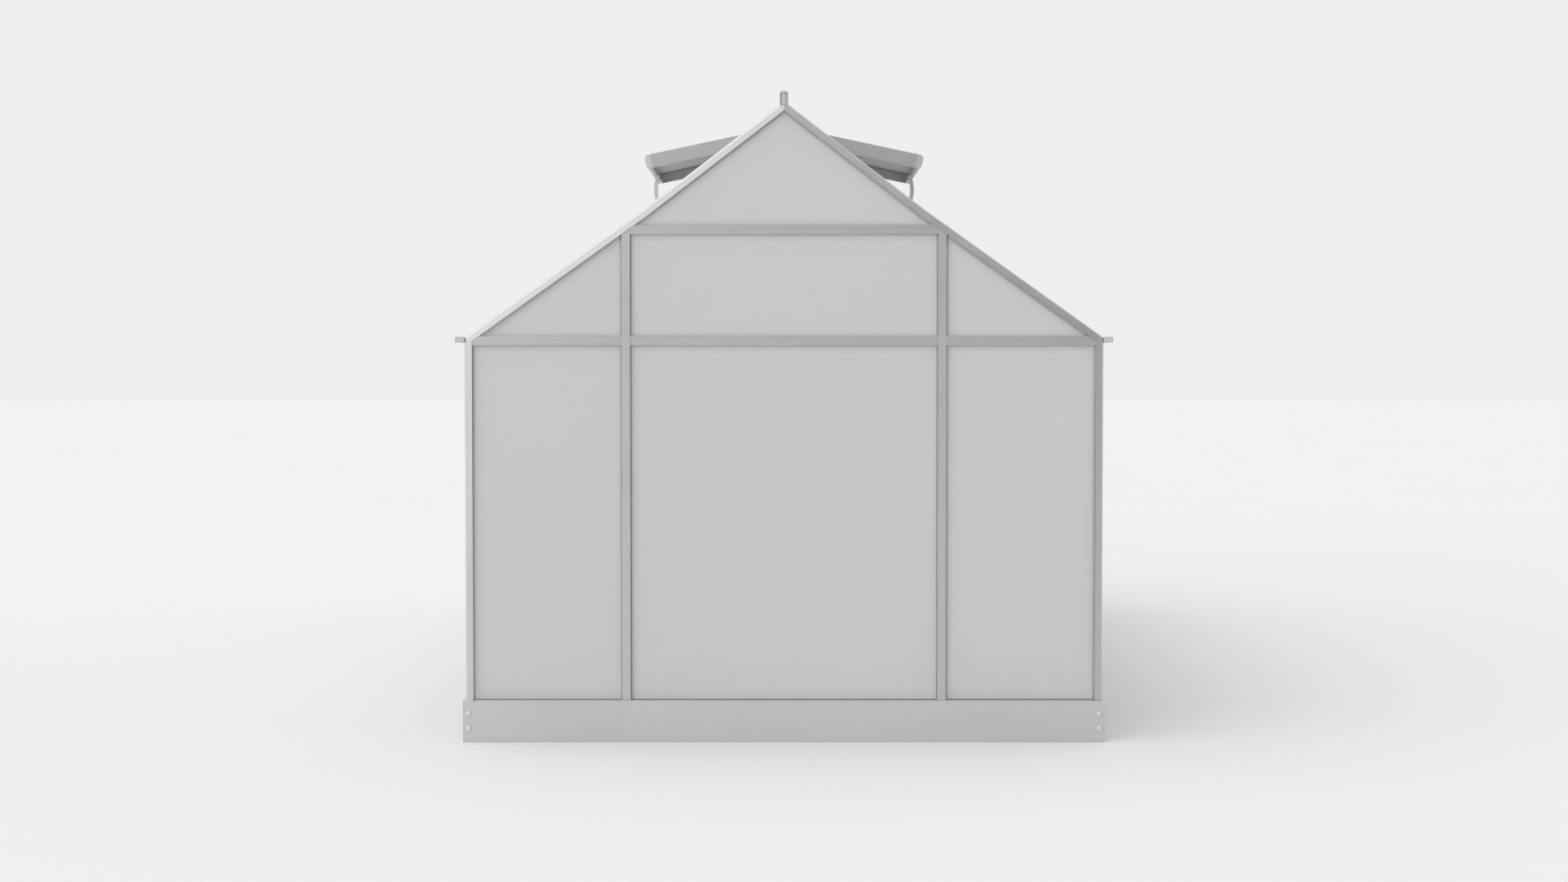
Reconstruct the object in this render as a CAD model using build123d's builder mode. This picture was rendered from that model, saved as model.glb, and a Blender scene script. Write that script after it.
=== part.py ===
"""Span-roof greenhouse: steel base, aluminium frame, milky twin-wall panes, two roof vents, two doors.

Millimetres, +Z up.  The origin is on the floor, at the middle of the whole object's footprint.  X runs across
the house and Y along it: the plain gable faces -Y and the gable with the doors faces +Y.
"""

import os
from math import atan2, cos, radians, sin, tan

from build123d import *

# ---- overall sizes -------------------------------------------------------------------------------
base_width = 1930.0
base_length = 3860.0
base_height = 123.5
bay_count = 6                  # bays along the length
eave_height = 1214.6           # outer corner where wall and roof meet
knee_rise = 377.4              # from the eave to where the steeper upper roof begins
knee_share = 426.0 / 965.0     # half width at the knee, as a share of half the base's width
apex_rise = 326.5              # from the knee to where the two outer roof planes would meet
apex_cut = 12.1                # rafter tips are cut off level this far under that point

# ---- base ----------------------------------------------------------------------------------------
base_sheet = 1.5
base_top_flange = 30.0
base_bottom_flange = 36.0
base_bracket_leg = 34.0
base_bracket_sheet = 2.5
base_bracket_low = 6.0
bolt_radius = 3.0
bolt_clearance = 0.3           # radial, round every bolt
bolt_head_radius = 8.0
bolt_head_height = 3.4
nut_across_flats = 10.0
nut_height = 5.0
base_bolt_inset = 17.0         # from the outer corner
gable_bolt_heights = (39.5, 85.0)
side_bolt_heights = (62.0, 107.0)

# ---- frame bars ----------------------------------------------------------------------------------
frame_setback = 9.0            # outer face of the frame behind the outer face of the base
bar_face = 22.0                # visible width of posts, rafters, wall bars and roof bars
upright_face = 26.0            # of the upright gable bars
post_round = 6.0
face_fall = 2.6                # the face of a post or rafter falls back this far towards its outer edge
cross_bar_face = 28.0
cross_bar_setback = 3.0        # cross bars lie this far behind the upright bars
cap_depth = 10.0
cap_wall = 2.0
web = 4.0
pane_thickness = 6.0
pane_setback = 11.0            # outer face of a pane behind the outer face of the frame
seat_thickness = 3.0
seat_width = 36.0
seat_leg = 20.0                # the leg a post or rafter holds behind its pane
stem_depth = 12.0
fit = 0.2                      # gap between frame pieces that butt
pane_gap = 2.5                 # gap from a pane to the web it sits beside
glazing_gap = 7.0              # open groove between a pane and a post or rafter
bay_split = 473.5              # middle of the upright gable bars, from the middle of the gable
lower_bar_drop = 24.1          # from the eave's corner to the underside of the lower cross bar
upper_bar_drop = 69.7          # from the knee to the underside of the upper cross bar
pane_lift = 1.5                # from the sill to the panes' lower edges
sill_sheet = 2.0
sill_upstand = 28.0

# ---- eave and gutter -----------------------------------------------------------------------------
eave_skirt = 29.0              # height of the eave beam's outer face
eave_lap = 17.6                # from the eave's corner to the top of that face
seat_gap = 0.3                 # under a roof pane, above what carries it
wall_pane_drop = 27.0          # from the eave's corner to the top of the wall panes
gutter_reach = 28.5
gutter_depth = 17.1
gutter_rise = 1.8              # the gutter's lip stands this far above the eave's corner
gutter_back_drop = 4.0         # its inner wall is this much lower than its lip
gutter_sheet = 1.6
gutter_lip = 4.0
gutter_cap_thickness = 2.0

# ---- ridge ---------------------------------------------------------------------------------------
crest_width = 26.0
crest_rise = 29.0              # from the meeting point of the roof planes to the top of the crest
crest_round = 9.0
crest_wall = 3.5
crest_plug_crease = 1.0        # the end plug's middle line, behind the crest's end
crest_plug_side = 4.5          # its two edges
crest_plug_back = 12.0
ridge_web_drop = 14.0
ridge_pane_gap = 3.0
ridge_cover_half = 32.0
ridge_seat_half = 38.0
ridge_cover_depth = 8.0
ridge_cover_sheet = 2.5
joiner_half = 14.0             # half the width of the strip over the joint at the knee
joiner_web = 4.0
joiner_pane_gap = 6.0

# ---- roof vents ----------------------------------------------------------------------------------
vent_bay = 1                   # second bay from the plain gable
vent_clearance = 7.5           # from the face of the roof bar to the vent, each end
vent_open_slope = 12.0         # degrees below level, with the vent propped open
hinge_x = 24.8
hinge_drop = 13.7              # hinge axis under the meeting point of the roof planes
hinge_pin_radius = 2.5
running_fit = 0.06             # radial, pins in their bores
vent_reach = 443.0             # from the hinge axis to the outer face of the nose
vent_top = 7.0                 # top face above the hinge axis
vent_under = -38.0             # underside below the hinge axis
vent_top_rail_width = 22.0
vent_top_rail_under = -8.0
vent_side_rail = 20.0
vent_nose = 20.0
vent_nose_round = 13.0
vent_wall = 2.5
vent_chamfer_start = 30.0
vent_chamfer_end = 62.0
vent_panel_top = 2.0
vent_panel_bite = 6.0          # how far the panel runs into its rails
vent_end_gap = 5.0             # from the nose to the sill
hinge_lug = 4.0
hinge_lug_gap = 1.0
stay_inset = 17.0              # from the nose's outer face in to the stay's pivot
stay_pivot_v = -47.0
stay_width = 13.0
stay_thickness = 5.0
stay_clearance = 1.0
stay_pin_radius = 3.0
stay_overrun = 22.0            # how far the stay's end reaches in past the opening's edge
bracket_half = 9.0
bracket_plate = 2.0
bracket_half_length = 16.0
cheek_half = 7.0
cheek_thickness = 3.0
guide_near = 7.0               # the guide fork stands between these distances from the opening's edge
guide_far = 27.0
guide_rise = 26.0
knob_radius = 8.0
knob_length = 12.0
knob_stub_radius = 2.5
knob_stub = 2.0
knob_rise = 4.0
sill_leg = 34.0

# ---- doors ---------------------------------------------------------------------------------------
door_gap = 3.0
door_meeting_gap = 4.0
door_thickness = 16.0
door_stile = 30.0
door_mid_height = 760.0
threshold_height = 12.0
hinge_barrel_radius = 4.0
door_pin_radius = 2.0
door_hinge_length = 60.0
door_hinge_plate = 1.5
door_hinge_plate_width = 16.0
door_hinge_inset = 150.0
handle_height = 880.0
handle_length = 120.0
handle_reach = 32.0
handle_radius = 5.0
handle_post_inset = 12.0
door_sheet = 1.5
door_panel_bite = 8.0
latch_above_handle = 90.0
latch_radius = 14.0
latch_knob = 10.0
latch_spindle = 4.0
latch_tongue = (14.0, 46.0, 4.0)
drop_bolt_radius = 4.0
drop_bolt_length = 130.0
drop_bolt_behind = 7.0         # bolt axis behind the leaf's inner face
drop_guide = (18.0, 18.0)      # width and height of each guide block
drop_guide_lifts = (4.0, 70.0)
drop_thumb_lift = 110.0
drop_thumb = (3.0, 16.0)       # radius and length of its thumb stub

# ---- worked-out places ---------------------------------------------------------------------------
half_width = base_width / 2
knee_half_width = half_width * knee_share
stay_pivot_u = vent_reach - stay_inset
frame_half = half_width - frame_setback
overall_length = base_length + bolt_head_height + handle_reach
rear_y = -overall_length / 2 + bolt_head_height
front_y = rear_y + base_length
pitch = base_length / bay_count
knee_height = eave_height + knee_rise
apex_height = knee_height + apex_rise
apex_cut_height = apex_height - apex_cut
crest_top = apex_height + crest_rise
lower_bar_low = eave_height - lower_bar_drop
upper_bar_low = knee_height - upper_bar_drop
gutter_high = eave_height + gutter_rise
gutter_low = gutter_high - gutter_depth
hinge_z = apex_height - hinge_drop
upper_angle = atan2(apex_rise, knee_half_width)
lower_angle = atan2(knee_rise, frame_half - knee_half_width)
pane_inner = pane_setback + pane_thickness
post_inner = frame_half - bar_face
gable_inner = frame_setback + bar_face
bar_lines = [rear_y + pitch * count for count in range(1, bay_count)]
floor_of_frame = base_height + sill_sheet
seat_floor = base_height + sill_upstand + fit
eave_under = eave_height - eave_lap - eave_skirt

os.makedirs("parts", exist_ok=True)
made = {}


def keep(name, part):
    """Labels one finished piece and writes it."""
    part.label = name
    made[name] = part
    export_step(part, f"parts/{name}.step")


def mirrored(part):
    """The same piece on the other side of the house."""
    with BuildPart() as other:
        mirror(part, about=Plane.YZ)
    return other.part


def roof_z(x, depth):
    """Height of the roof at x, at a depth below its outer face."""
    upper = apex_height - x * tan(upper_angle) - depth / cos(upper_angle)
    lower = eave_height + (frame_half - x) * tan(lower_angle) - depth / cos(lower_angle)
    return max(upper, lower) if x < knee_x(depth) else lower


def knee_x(depth):
    """Where the two roof planes meet, at a depth below the outer face."""
    upper = apex_height - depth / cos(upper_angle)
    lower = eave_height + frame_half * tan(lower_angle) - depth / cos(lower_angle)
    return (upper - lower) / (tan(upper_angle) - tan(lower_angle))


def roof_band(x_in, x_out, depth_out, depth_in):
    """Outline of a strip that follows the roof of the +X side, between two depths."""
    def side(depth):
        knee = [(knee_x(depth), roof_z(knee_x(depth), depth))]
        middle = knee if x_in < knee[0][0] < x_out else []
        return [(x_in, roof_z(x_in, depth)), *middle, (x_out, roof_z(x_out, depth))]
    return side(depth_out) + side(depth_in)[::-1]


def across(y_low, y_high):
    """Plane of a cross section that is then extruded from y_high back to y_low."""
    return Plane.XZ.offset(-y_high), y_high - y_low


def gable_span(end, outer, inner):
    """The Y range between two depths behind the outer face of the base, at either gable."""
    if end == "rear":
        return rear_y + outer, rear_y + inner
    return front_y - inner, front_y - outer


def slab(points, y_low, y_high):
    """A plate with this XZ outline between two Y planes."""
    plane, depth = across(y_low, y_high)
    with BuildPart() as plate:
        with BuildSketch(plane):
            with BuildLine():
                Polyline(*points, close=True)
            make_face()
        extrude(amount=depth)
    return plate.part


def block(x_range, y_range, z_range):
    """A rectangular bar between three pairs of planes."""
    (x0, x1), (y0, y1), (z0, z1) = x_range, y_range, z_range
    return slab([(x0, z0), (x1, z0), (x1, z1), (x0, z1)], y0, y1)


def joined(*parts):
    """One body of pieces that touch or overlap."""
    with BuildPart() as whole:
        for part in parts:
            add(part)
    return whole.part


def group(parts):
    """Separate solids that share one node."""
    return Compound(children=[solid for part in parts for solid in part.solids()])


def trimmed(part, cutter):
    """The piece without what lies inside the cutter."""
    with BuildPart() as rest:
        add(part)
        add(cutter, mode=Mode.SUBTRACT)
    return rest.part


def inner_outline(depth, floor, side):
    """Outline of the space inside the rafters and posts: depth below the roof, side clear of the posts."""
    knee = knee_x(depth)
    right = [(side, floor), (side, roof_z(side, depth)), (knee, roof_z(knee, depth))]
    return right + [(0, roof_z(0, depth))] + [(-x, z) for x, z in right[::-1]]


def inside_gable(part, depth, side, y_range):
    """The piece, kept within the rafters."""
    with BuildPart() as kept:
        add(part)
        add(slab(inner_outline(depth, 0, side), *y_range), mode=Mode.INTERSECT)
    return kept.part


# ---- base ----------------------------------------------------------------------------------------
def bolt_holes(places, y_low, y_high):
    """Cutters for bolts that run along Y."""
    with BuildPart() as cutters:
        with BuildSketch(Plane.XZ.offset(-y_high)):
            with Locations(*places):
                Circle(bolt_radius + bolt_clearance)
        extrude(amount=y_high - y_low)
    return cutters.part


def side_holes(places, x_low, x_high):
    """Cutters for bolts that run along X."""
    with BuildPart() as cutters:
        with BuildSketch(Plane.YZ.offset(x_low)):
            with Locations(*places):
                Circle(bolt_radius + bolt_clearance)
        extrude(amount=x_high - x_low)
    return cutters.part


gable_bolt_x = half_width - base_bolt_inset
gable_places = [(side * gable_bolt_x, z) for side in (-1, 1) for z in gable_bolt_heights]
side_bolt_ys = (rear_y + base_bolt_inset, front_y - base_bolt_inset)
side_places = [(y, z) for y in side_bolt_ys for z in side_bolt_heights]


def gable_base(end):
    """Folded steel plate across one gable: web, top flange and bottom flange."""
    wide = (-half_width, half_width)
    flange = (-half_width + base_bottom_flange + 1, half_width - base_bottom_flange - 1)
    web_part = block(wide, gable_span(end, 0, base_sheet), (0, base_height))
    low = block(flange, gable_span(end, 0, base_bottom_flange), (0, base_sheet))
    high = block(flange, gable_span(end, 0, base_top_flange), (base_height - base_sheet, base_height))
    plate = joined(web_part, low, high)
    return trimmed(plate, bolt_holes(gable_places, *gable_span(end, -1, base_sheet + 1)))


def side_base():
    """Folded steel plate along the +X side, between the gable plates."""
    y_range = (rear_y + base_sheet, front_y - base_sheet)
    web_part = block((half_width - base_sheet, half_width), y_range, (0, base_height))
    low = block((half_width - base_bottom_flange, half_width), y_range, (0, base_sheet))
    high = block((half_width - base_top_flange, half_width), y_range, (base_height - base_sheet, base_height))
    plate = joined(web_part, low, high)
    return trimmed(plate, side_holes(side_places, half_width - base_sheet - 1, half_width + 1))


def corner_bracket(end):
    """Steel angle that ties a gable plate to the +X side plate."""
    outer_x = half_width - base_sheet
    tall = (base_bracket_low, base_height - base_bracket_low)
    near = base_sheet + base_bracket_sheet
    along = block((outer_x - base_bracket_leg, outer_x), gable_span(end, base_sheet, near), tall)
    away = block((outer_x - base_bracket_sheet, outer_x), gable_span(end, base_sheet, base_bracket_leg), tall)
    bracket = joined(along, away)
    bracket = trimmed(bracket, bolt_holes(gable_places, *gable_span(end, 0, near + 1)))
    return trimmed(bracket, side_holes(side_places, outer_x - base_bracket_sheet - 1, half_width))


def bolt(plane):
    """Round-headed bolt: the plane lies on the sheet's outer face, its normal points outwards."""
    shank = base_sheet + base_bracket_sheet + nut_height + 2
    with BuildPart() as fastener:
        with BuildSketch(plane):
            Circle(bolt_head_radius)
        extrude(amount=bolt_head_height)
        top = fastener.faces().sort_by(Axis(plane.origin, plane.z_dir))[-1]
        fillet(top.edges(), bolt_head_height * 0.8)
        with BuildSketch(plane):
            Circle(bolt_radius)
        extrude(amount=-shank)
    return fastener.part


def nut(plane):
    """Hexagon nut behind the bracket, round the same axis."""
    start = base_sheet + base_bracket_sheet
    with BuildPart() as hexagon:
        with BuildSketch(plane.offset(-start)):
            RegularPolygon(nut_across_flats / 2, 6, major_radius=False)
            Circle(bolt_radius + running_fit, mode=Mode.SUBTRACT)
        extrude(amount=-nut_height)
    return hexagon.part


def bolt_planes():
    """Every base bolt's plane, on the outer faces of the base."""
    planes = []
    for x, z in gable_places:
        planes.append(Plane(origin=(x, rear_y, z), x_dir=(1, 0, 0), z_dir=(0, -1, 0)))
        planes.append(Plane(origin=(x, front_y, z), x_dir=(1, 0, 0), z_dir=(0, 1, 0)))
    for y, z in side_places:
        planes.append(Plane(origin=(half_width, y, z), x_dir=(0, 1, 0), z_dir=(1, 0, 0)))
        planes.append(Plane(origin=(-half_width, y, z), x_dir=(0, 1, 0), z_dir=(-1, 0, 0)))
    return planes


keep("base_plate_rear", gable_base("rear"))
keep("base_plate_front", gable_base("front"))
right_base = side_base()
keep("base_side_plates", group([right_base, mirrored(right_base)]))
right_brackets = [corner_bracket(end) for end in ("rear", "front")]
keep("base_corner_brackets", group(right_brackets + [mirrored(part) for part in right_brackets]))
keep("base_bolts", group([bolt(plane) for plane in bolt_planes()]))
keep("base_nuts", group([nut(plane) for plane in bolt_planes()]))


# ---- gable frames --------------------------------------------------------------------------------
def gable_line(side, depth):
    """Closed gable outline at a depth inside the posts' and rafters' outer edge, as points in X and Z."""
    knee = knee_x(depth)
    right = [(side, 0), (side, roof_z(side, depth)), (knee, roof_z(knee, depth))]
    return right + [(0, roof_z(0, depth))] + [(-x, z) for x, z in right[::-1]]


def face_wedge(end):
    """What is cut from the faces of posts and rafters, so that they fall back towards their outer edge."""
    levels = sorted(gable_span(end, frame_setback, frame_setback + face_fall), reverse=end == "front")
    with BuildPart() as crown:
        for points, level in zip((gable_line(post_inner, bar_face), gable_line(frame_half, 0)), levels):
            with BuildSketch(Plane.XZ.offset(-level)):
                with BuildLine():
                    Polyline(*points, close=True)
                make_face()
        loft(ruled=True)
    around = block((-half_width, half_width), sorted(levels), (0, crest_top))
    return trimmed(around, crown.part)


def corner_post(end):
    """Square post of the +X side, mitred to its rafter, with a leg behind each of its two panes."""
    mitre_z = roof_z(post_inner, bar_face)
    face = [(post_inner, base_height), (frame_half, base_height),
            (frame_half, eave_height), (post_inner, mitre_z)]
    fallen_y = gable_span(end, frame_setback + face_fall, 0)[0 if end == "rear" else 1]
    with BuildPart() as post:
        add(trimmed(slab(face, *gable_span(end, frame_setback, gable_inner)), wedges[end]))
        outer = post.edges().filter_by(Axis.Z).filter_by(
            lambda edge: edge.center().X > frame_half - 1 and abs(edge.center().Y - fallen_y) < 0.5
        )
        fillet(outer, post_round)
    inner_z = lower_bar_low - fit
    gable_leg = block((post_inner - seat_leg, post_inner),
                      gable_span(end, frame_setback + pane_inner,
                                 frame_setback + pane_inner + seat_thickness),
                      (seat_floor, inner_z))
    wall_x = frame_half - pane_inner
    wall_leg = block((wall_x - seat_thickness, wall_x), gable_span(end, gable_inner, gable_inner + seat_leg),
                     (seat_floor, eave_under - fit))
    return joined(post.part, gable_leg, wall_leg)


def gable_rafter(end, lapped):
    """Rafter of the +X side: a square bar, a leg behind the gable pane and a leg under the roof pane."""
    tip_z = roof_z(0, bar_face)
    lap = (apex_cut_height - tip_z) * tan(upper_angle)
    level_x = (apex_height - apex_cut_height) / tan(upper_angle)
    knee_out, knee_in = knee_x(0), knee_x(bar_face)
    outline = [
        (fit - lap if lapped else fit + lap, apex_cut_height),
        (level_x, apex_cut_height),
        (knee_out, roof_z(knee_out, 0)),
        (frame_half, eave_height),
        (post_inner, roof_z(post_inner, bar_face)),
        (knee_in, roof_z(knee_in, bar_face)),
        (fit, tip_z),
    ]
    fallen_y = gable_span(end, frame_setback + face_fall, 0)[0 if end == "rear" else 1]
    with BuildPart() as rafter:
        add(trimmed(slab(outline, *gable_span(end, frame_setback, gable_inner)), wedges[end]))
        outer = rafter.edges().filter_by(
            lambda edge: abs(edge.center().Y - fallen_y) < 0.5 and edge.length > knee_half_width / 2
            and edge.center().Z > roof_z(edge.center().X, 0) - 1
        )
        fillet(outer, post_round)
    pane_back = frame_setback + pane_inner
    gable_leg = slab(roof_band(fit, post_inner - seat_leg, bar_face, bar_face + seat_leg),
                     *gable_span(end, pane_back, pane_back + seat_thickness))
    roof_leg = slab(roof_band(ridge_seat_half + fit, post_inner - seat_leg,
                              pane_inner, pane_inner + seat_thickness),
                    *gable_span(end, gable_inner, gable_inner + seat_leg))
    return joined(rafter.part, gable_leg, roof_leg)


def upright_bar(end, x):
    """Upright gable bar: open cap outside, web between the panes, seat behind them and a stiffening stem."""
    top = upper_bar_low - fit
    outer = frame_setback
    back = outer + pane_inner
    half = upright_face / 2
    face = block((x - half, x + half), gable_span(end, outer, outer + cap_wall), (floor_of_frame, top))
    lips = [
        block((edge, edge + cap_wall), gable_span(end, outer, outer + cap_depth), (floor_of_frame, top))
        for edge in (x - half, x + half - cap_wall)
    ]
    core = block((x - web / 2, x + web / 2), gable_span(end, outer, back), (seat_floor, top))
    front = inside_gable(joined(face, *lips, core), bar_face + fit, post_inner, gable_span(end, 0, back + 1))
    stem = block((x - web / 2, x + web / 2), gable_span(end, back, back + stem_depth), (seat_floor, top))
    seat = block((x - seat_width / 2, x + seat_width / 2), gable_span(end, back, back + seat_thickness),
                 (seat_floor, top))
    rear = inside_gable(joined(stem, seat), bar_face + seat_leg + fit, post_inner,
                        gable_span(end, back - 1, back + stem_depth + 1))
    return joined(front, rear)


def cross_bar(end, x_range, low, left_post, right_post):
    """Level gable bar between two uprights, or between an upright and a post or rafter."""
    high = low + cross_bar_face
    middle = low + cross_bar_face / 2
    outer = frame_setback + cross_bar_setback
    back = frame_setback + pane_inner
    x0, x1 = x_range
    cap0 = x0 + (fit if left_post else upright_face / 2 + fit)
    cap1 = x1 - (fit if right_post else upright_face / 2 + fit)
    seat0 = x0 + (seat_leg + fit if left_post else seat_width / 2 + fit)
    seat1 = x1 - (seat_leg + fit if right_post else seat_width / 2 + fit)
    face = block((cap0, cap1), gable_span(end, outer, outer + cap_wall), (low, high))
    lips = [
        block((cap0, cap1), gable_span(end, outer, frame_setback + cap_depth), (edge, edge + cap_wall))
        for edge in (low, high - cap_wall)
    ]
    core = block((cap0, cap1), gable_span(end, outer, back), (middle - web / 2, middle + web / 2))
    front = inside_gable(joined(face, *lips, core), bar_face + fit, post_inner - fit,
                         gable_span(end, 0, back + 1))
    seat = block((seat0, seat1), gable_span(end, back, back + seat_thickness), (low, high))
    seat = inside_gable(seat, bar_face + seat_leg + fit, post_inner - seat_leg - fit,
                        gable_span(end, back - 1, back + seat_thickness + 1))
    return joined(front, seat)


ends = ("rear", "front")
wedges = {end: face_wedge(end) for end in ends}
right_posts = [corner_post(end) for end in ends]
keep("corner_posts", group(right_posts + [mirrored(post) for post in right_posts]))
rafters = [gable_rafter(end, True) for end in ends] + [mirrored(gable_rafter(end, False)) for end in ends]
keep("gable_rafters", group(rafters))
keep("gable_upright_bars", group([upright_bar(end, side * bay_split) for end in ends for side in (-1, 1)]))
lower = [cross_bar("rear", (-bay_split, bay_split), lower_bar_low, False, False)]
for end in ends:
    lower.append(cross_bar(end, (-post_inner, -bay_split), lower_bar_low, True, False))
    lower.append(cross_bar(end, (bay_split, post_inner), lower_bar_low, False, True))
keep("gable_lower_bars", group(lower))
upper = [cross_bar(end, (-post_inner, post_inner), upper_bar_low, True, True) for end in ends]
keep("gable_upper_bars", group(upper))


# ---- sills, wall bars and eaves --------------------------------------------------------------------
def gable_sill(end, x_range):
    """Aluminium angle on the base's top flange: the panes stand on it and rest against its upstand."""
    back = frame_setback + pane_inner
    foot = block(x_range, gable_span(end, frame_setback, back + seat_thickness),
                 (base_height, floor_of_frame))
    up = block(x_range, gable_span(end, back, back + seat_thickness),
               (base_height, base_height + sill_upstand))
    return joined(foot, up)


def side_sill():
    """The same angle along the +X wall, between the corner posts."""
    y_range = (rear_y + gable_inner + fit, front_y - gable_inner - fit)
    back = frame_half - pane_inner
    foot = block((back - seat_thickness, frame_half), y_range, (base_height, floor_of_frame))
    up = block((back - seat_thickness, back), y_range, (base_height, base_height + sill_upstand))
    return joined(foot, up)


def wall_bar(y):
    """Upright bar of the +X wall, like the gable bars."""
    top = eave_under - fit
    half = bar_face / 2
    back = frame_half - pane_inner
    face = block((frame_half - cap_wall, frame_half), (y - half, y + half), (floor_of_frame, top))
    lips = [
        block((frame_half - cap_depth, frame_half), (edge, edge + cap_wall), (floor_of_frame, top))
        for edge in (y - half, y + half - cap_wall)
    ]
    core = block((back - stem_depth, frame_half), (y - web / 2, y + web / 2), (seat_floor, top))
    seat = block((back - seat_thickness, back), (y - seat_width / 2, y + seat_width / 2), (seat_floor, top))
    return joined(face, *lips, core, seat)


def eave_beam():
    """Upside-down channel over the wall panes' top edge, with a sloping top that carries the roof panes."""
    outer_x = frame_half
    back = frame_half - pane_inner
    seat_top = pane_inner + seat_gap
    y_range = (rear_y + gable_inner + fit, front_y - gable_inner - fit)
    outline = [
        (outer_x, eave_under),
        (outer_x, roof_z(outer_x, seat_top)),
        (back - seat_leg, roof_z(back - seat_leg, seat_top)),
        (back - seat_leg, roof_z(back - seat_leg, seat_top + seat_thickness)),
        (back - seat_thickness, roof_z(back - seat_thickness, seat_top + seat_thickness)),
        (back - seat_thickness, eave_under),
        (back, eave_under),
        (back, roof_z(back, seat_top + seat_thickness)),
        (outer_x - seat_thickness, roof_z(outer_x - seat_thickness, seat_top + seat_thickness)),
        (outer_x - seat_thickness, eave_under),
    ]
    return trimmed(slab(outline, *y_range), block((0, back), (rear_y, rear_y + gable_inner + seat_leg + fit),
                                                 (0, eave_height)))


def gutter():
    """Rain channel outside the eave beam, with a small lip along its outer edge."""
    y_range = (rear_y + frame_setback + gutter_cap_thickness, front_y - frame_setback - gutter_cap_thickness)
    x0 = frame_half
    x1 = frame_half + gutter_reach
    floor_part = block((x0, x1), y_range, (gutter_low, gutter_low + gutter_sheet))
    inner = block((x0, x0 + gutter_sheet), y_range, (gutter_low, gutter_high - gutter_back_drop))
    outer = block((x1 - gutter_sheet, x1), y_range, (gutter_low, gutter_high))
    lip = block((x1 - gutter_lip, x1), y_range, (gutter_high - gutter_sheet, gutter_high))
    return joined(floor_part, inner, outer, lip)


def gutter_caps():
    """End plates that close the rain channel."""
    x_range = (frame_half, frame_half + gutter_reach)
    tall = (gutter_low, gutter_high)
    spans = [gable_span(end, frame_setback, frame_setback + gutter_cap_thickness) for end in ends]
    return group([block(x_range, span, tall) for span in spans])


sill_end = post_inner - fit
door_half = bay_split - upright_face / 2
right_sill = side_sill()
sills = [
    gable_sill("rear", (-sill_end, sill_end)),
    gable_sill("front", (-sill_end, -door_half)),
    gable_sill("front", (door_half, sill_end)),
    right_sill,
    mirrored(right_sill),
]
keep("glazing_sills", group(sills))
right_wall_bars = [wall_bar(y) for y in bar_lines]
keep("wall_bars", group(right_wall_bars + [mirrored(bar) for bar in right_wall_bars]))
right_eave = eave_beam()
keep("eave_beams", group([right_eave, mirrored(right_eave)]))
right_gutter = gutter()
keep("right_gutter", right_gutter)
keep("left_gutter", mirrored(right_gutter))
right_caps = gutter_caps()


# ---- ridge and roof bars ---------------------------------------------------------------------------
def ridge():
    """Ridge beam: a hollow upstanding crest along the whole house, with a cover and a seat on each slope."""
    half = crest_width / 2
    plane, depth = across(rear_y + frame_setback, front_y - frame_setback)
    with BuildPart() as crest:
        with BuildSketch(plane):
            with Locations((0, (apex_cut_height + crest_top) / 2)):
                RectangleRounded(crest_width, crest_top - apex_cut_height, crest_round)
            with Locations((0, apex_cut_height + crest_round)):
                Rectangle(crest_width, 2 * crest_round)
            with Locations((0, (apex_cut_height + crest_top) / 2)):
                RectangleRounded(crest_width - 2 * crest_wall, crest_top - apex_cut_height - 2 * crest_wall,
                                 crest_round - crest_wall, mode=Mode.SUBTRACT)
        extrude(amount=depth)
    between = (rear_y + gable_inner + fit, front_y - gable_inner - fit)
    low_z = roof_z(half, pane_inner + seat_thickness) - ridge_web_drop
    neck = block((-half, half), between, (low_z, apex_cut_height + crest_wall))
    hollow = block((-half + crest_wall, half - crest_wall), (rear_y, front_y),
                   (low_z + crest_wall, apex_cut_height + fit))
    wings = []
    for reach, outer, sheet in (
        (ridge_cover_half, ridge_cover_depth, ridge_cover_sheet),
        (ridge_seat_half, pane_inner + seat_gap, seat_thickness),
    ):
        wing = slab(roof_band(half - 1, reach, outer, outer + sheet), *between)
        wings += [wing, mirrored(wing)]
    return joined(crest.part, trimmed(neck, hollow), *wings)


def roof_bar(y):
    """Roof bar of the +X slope, bent at the knee: open cap, web, seat and stem."""
    half = bar_face / 2
    top_x = ridge_cover_half + fit
    seat_x = ridge_seat_half + fit
    end_x = frame_half - pane_inner - seat_leg - fit
    eave_x = frame_half - 1
    face = slab(roof_band(top_x, eave_x, 0, cap_wall), y - half, y + half)
    lips = [
        slab(roof_band(top_x, eave_x, cap_wall, cap_depth), edge, edge + cap_wall)
        for edge in (y - half, y + half - cap_wall)
    ]
    core = slab(roof_band(seat_x, end_x, cap_wall, pane_inner), y - web / 2, y + web / 2)
    stem = slab(roof_band(seat_x, end_x, pane_inner + seat_thickness, pane_inner + stem_depth),
                y - web / 2, y + web / 2)
    seat = slab(roof_band(seat_x, end_x, pane_inner, pane_inner + seat_thickness),
                y - seat_width / 2, y + seat_width / 2)
    return joined(face, *lips, core, seat, stem)


def bay(index):
    """Y range of a bay between the middles of its two bars, or from a gable rafter's inner face."""
    low = rear_y + pitch * index if index else rear_y + gable_inner
    high = rear_y + pitch * (index + 1) if index < bay_count - 1 else front_y - gable_inner
    return low, high


def bay_inside(index, at_bar, at_gable):
    """The same range drawn in from each bar and from each gable."""
    low, high = bay(index)
    return low + (at_bar if index else at_gable), high - (at_bar if index < bay_count - 1 else at_gable)


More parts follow.
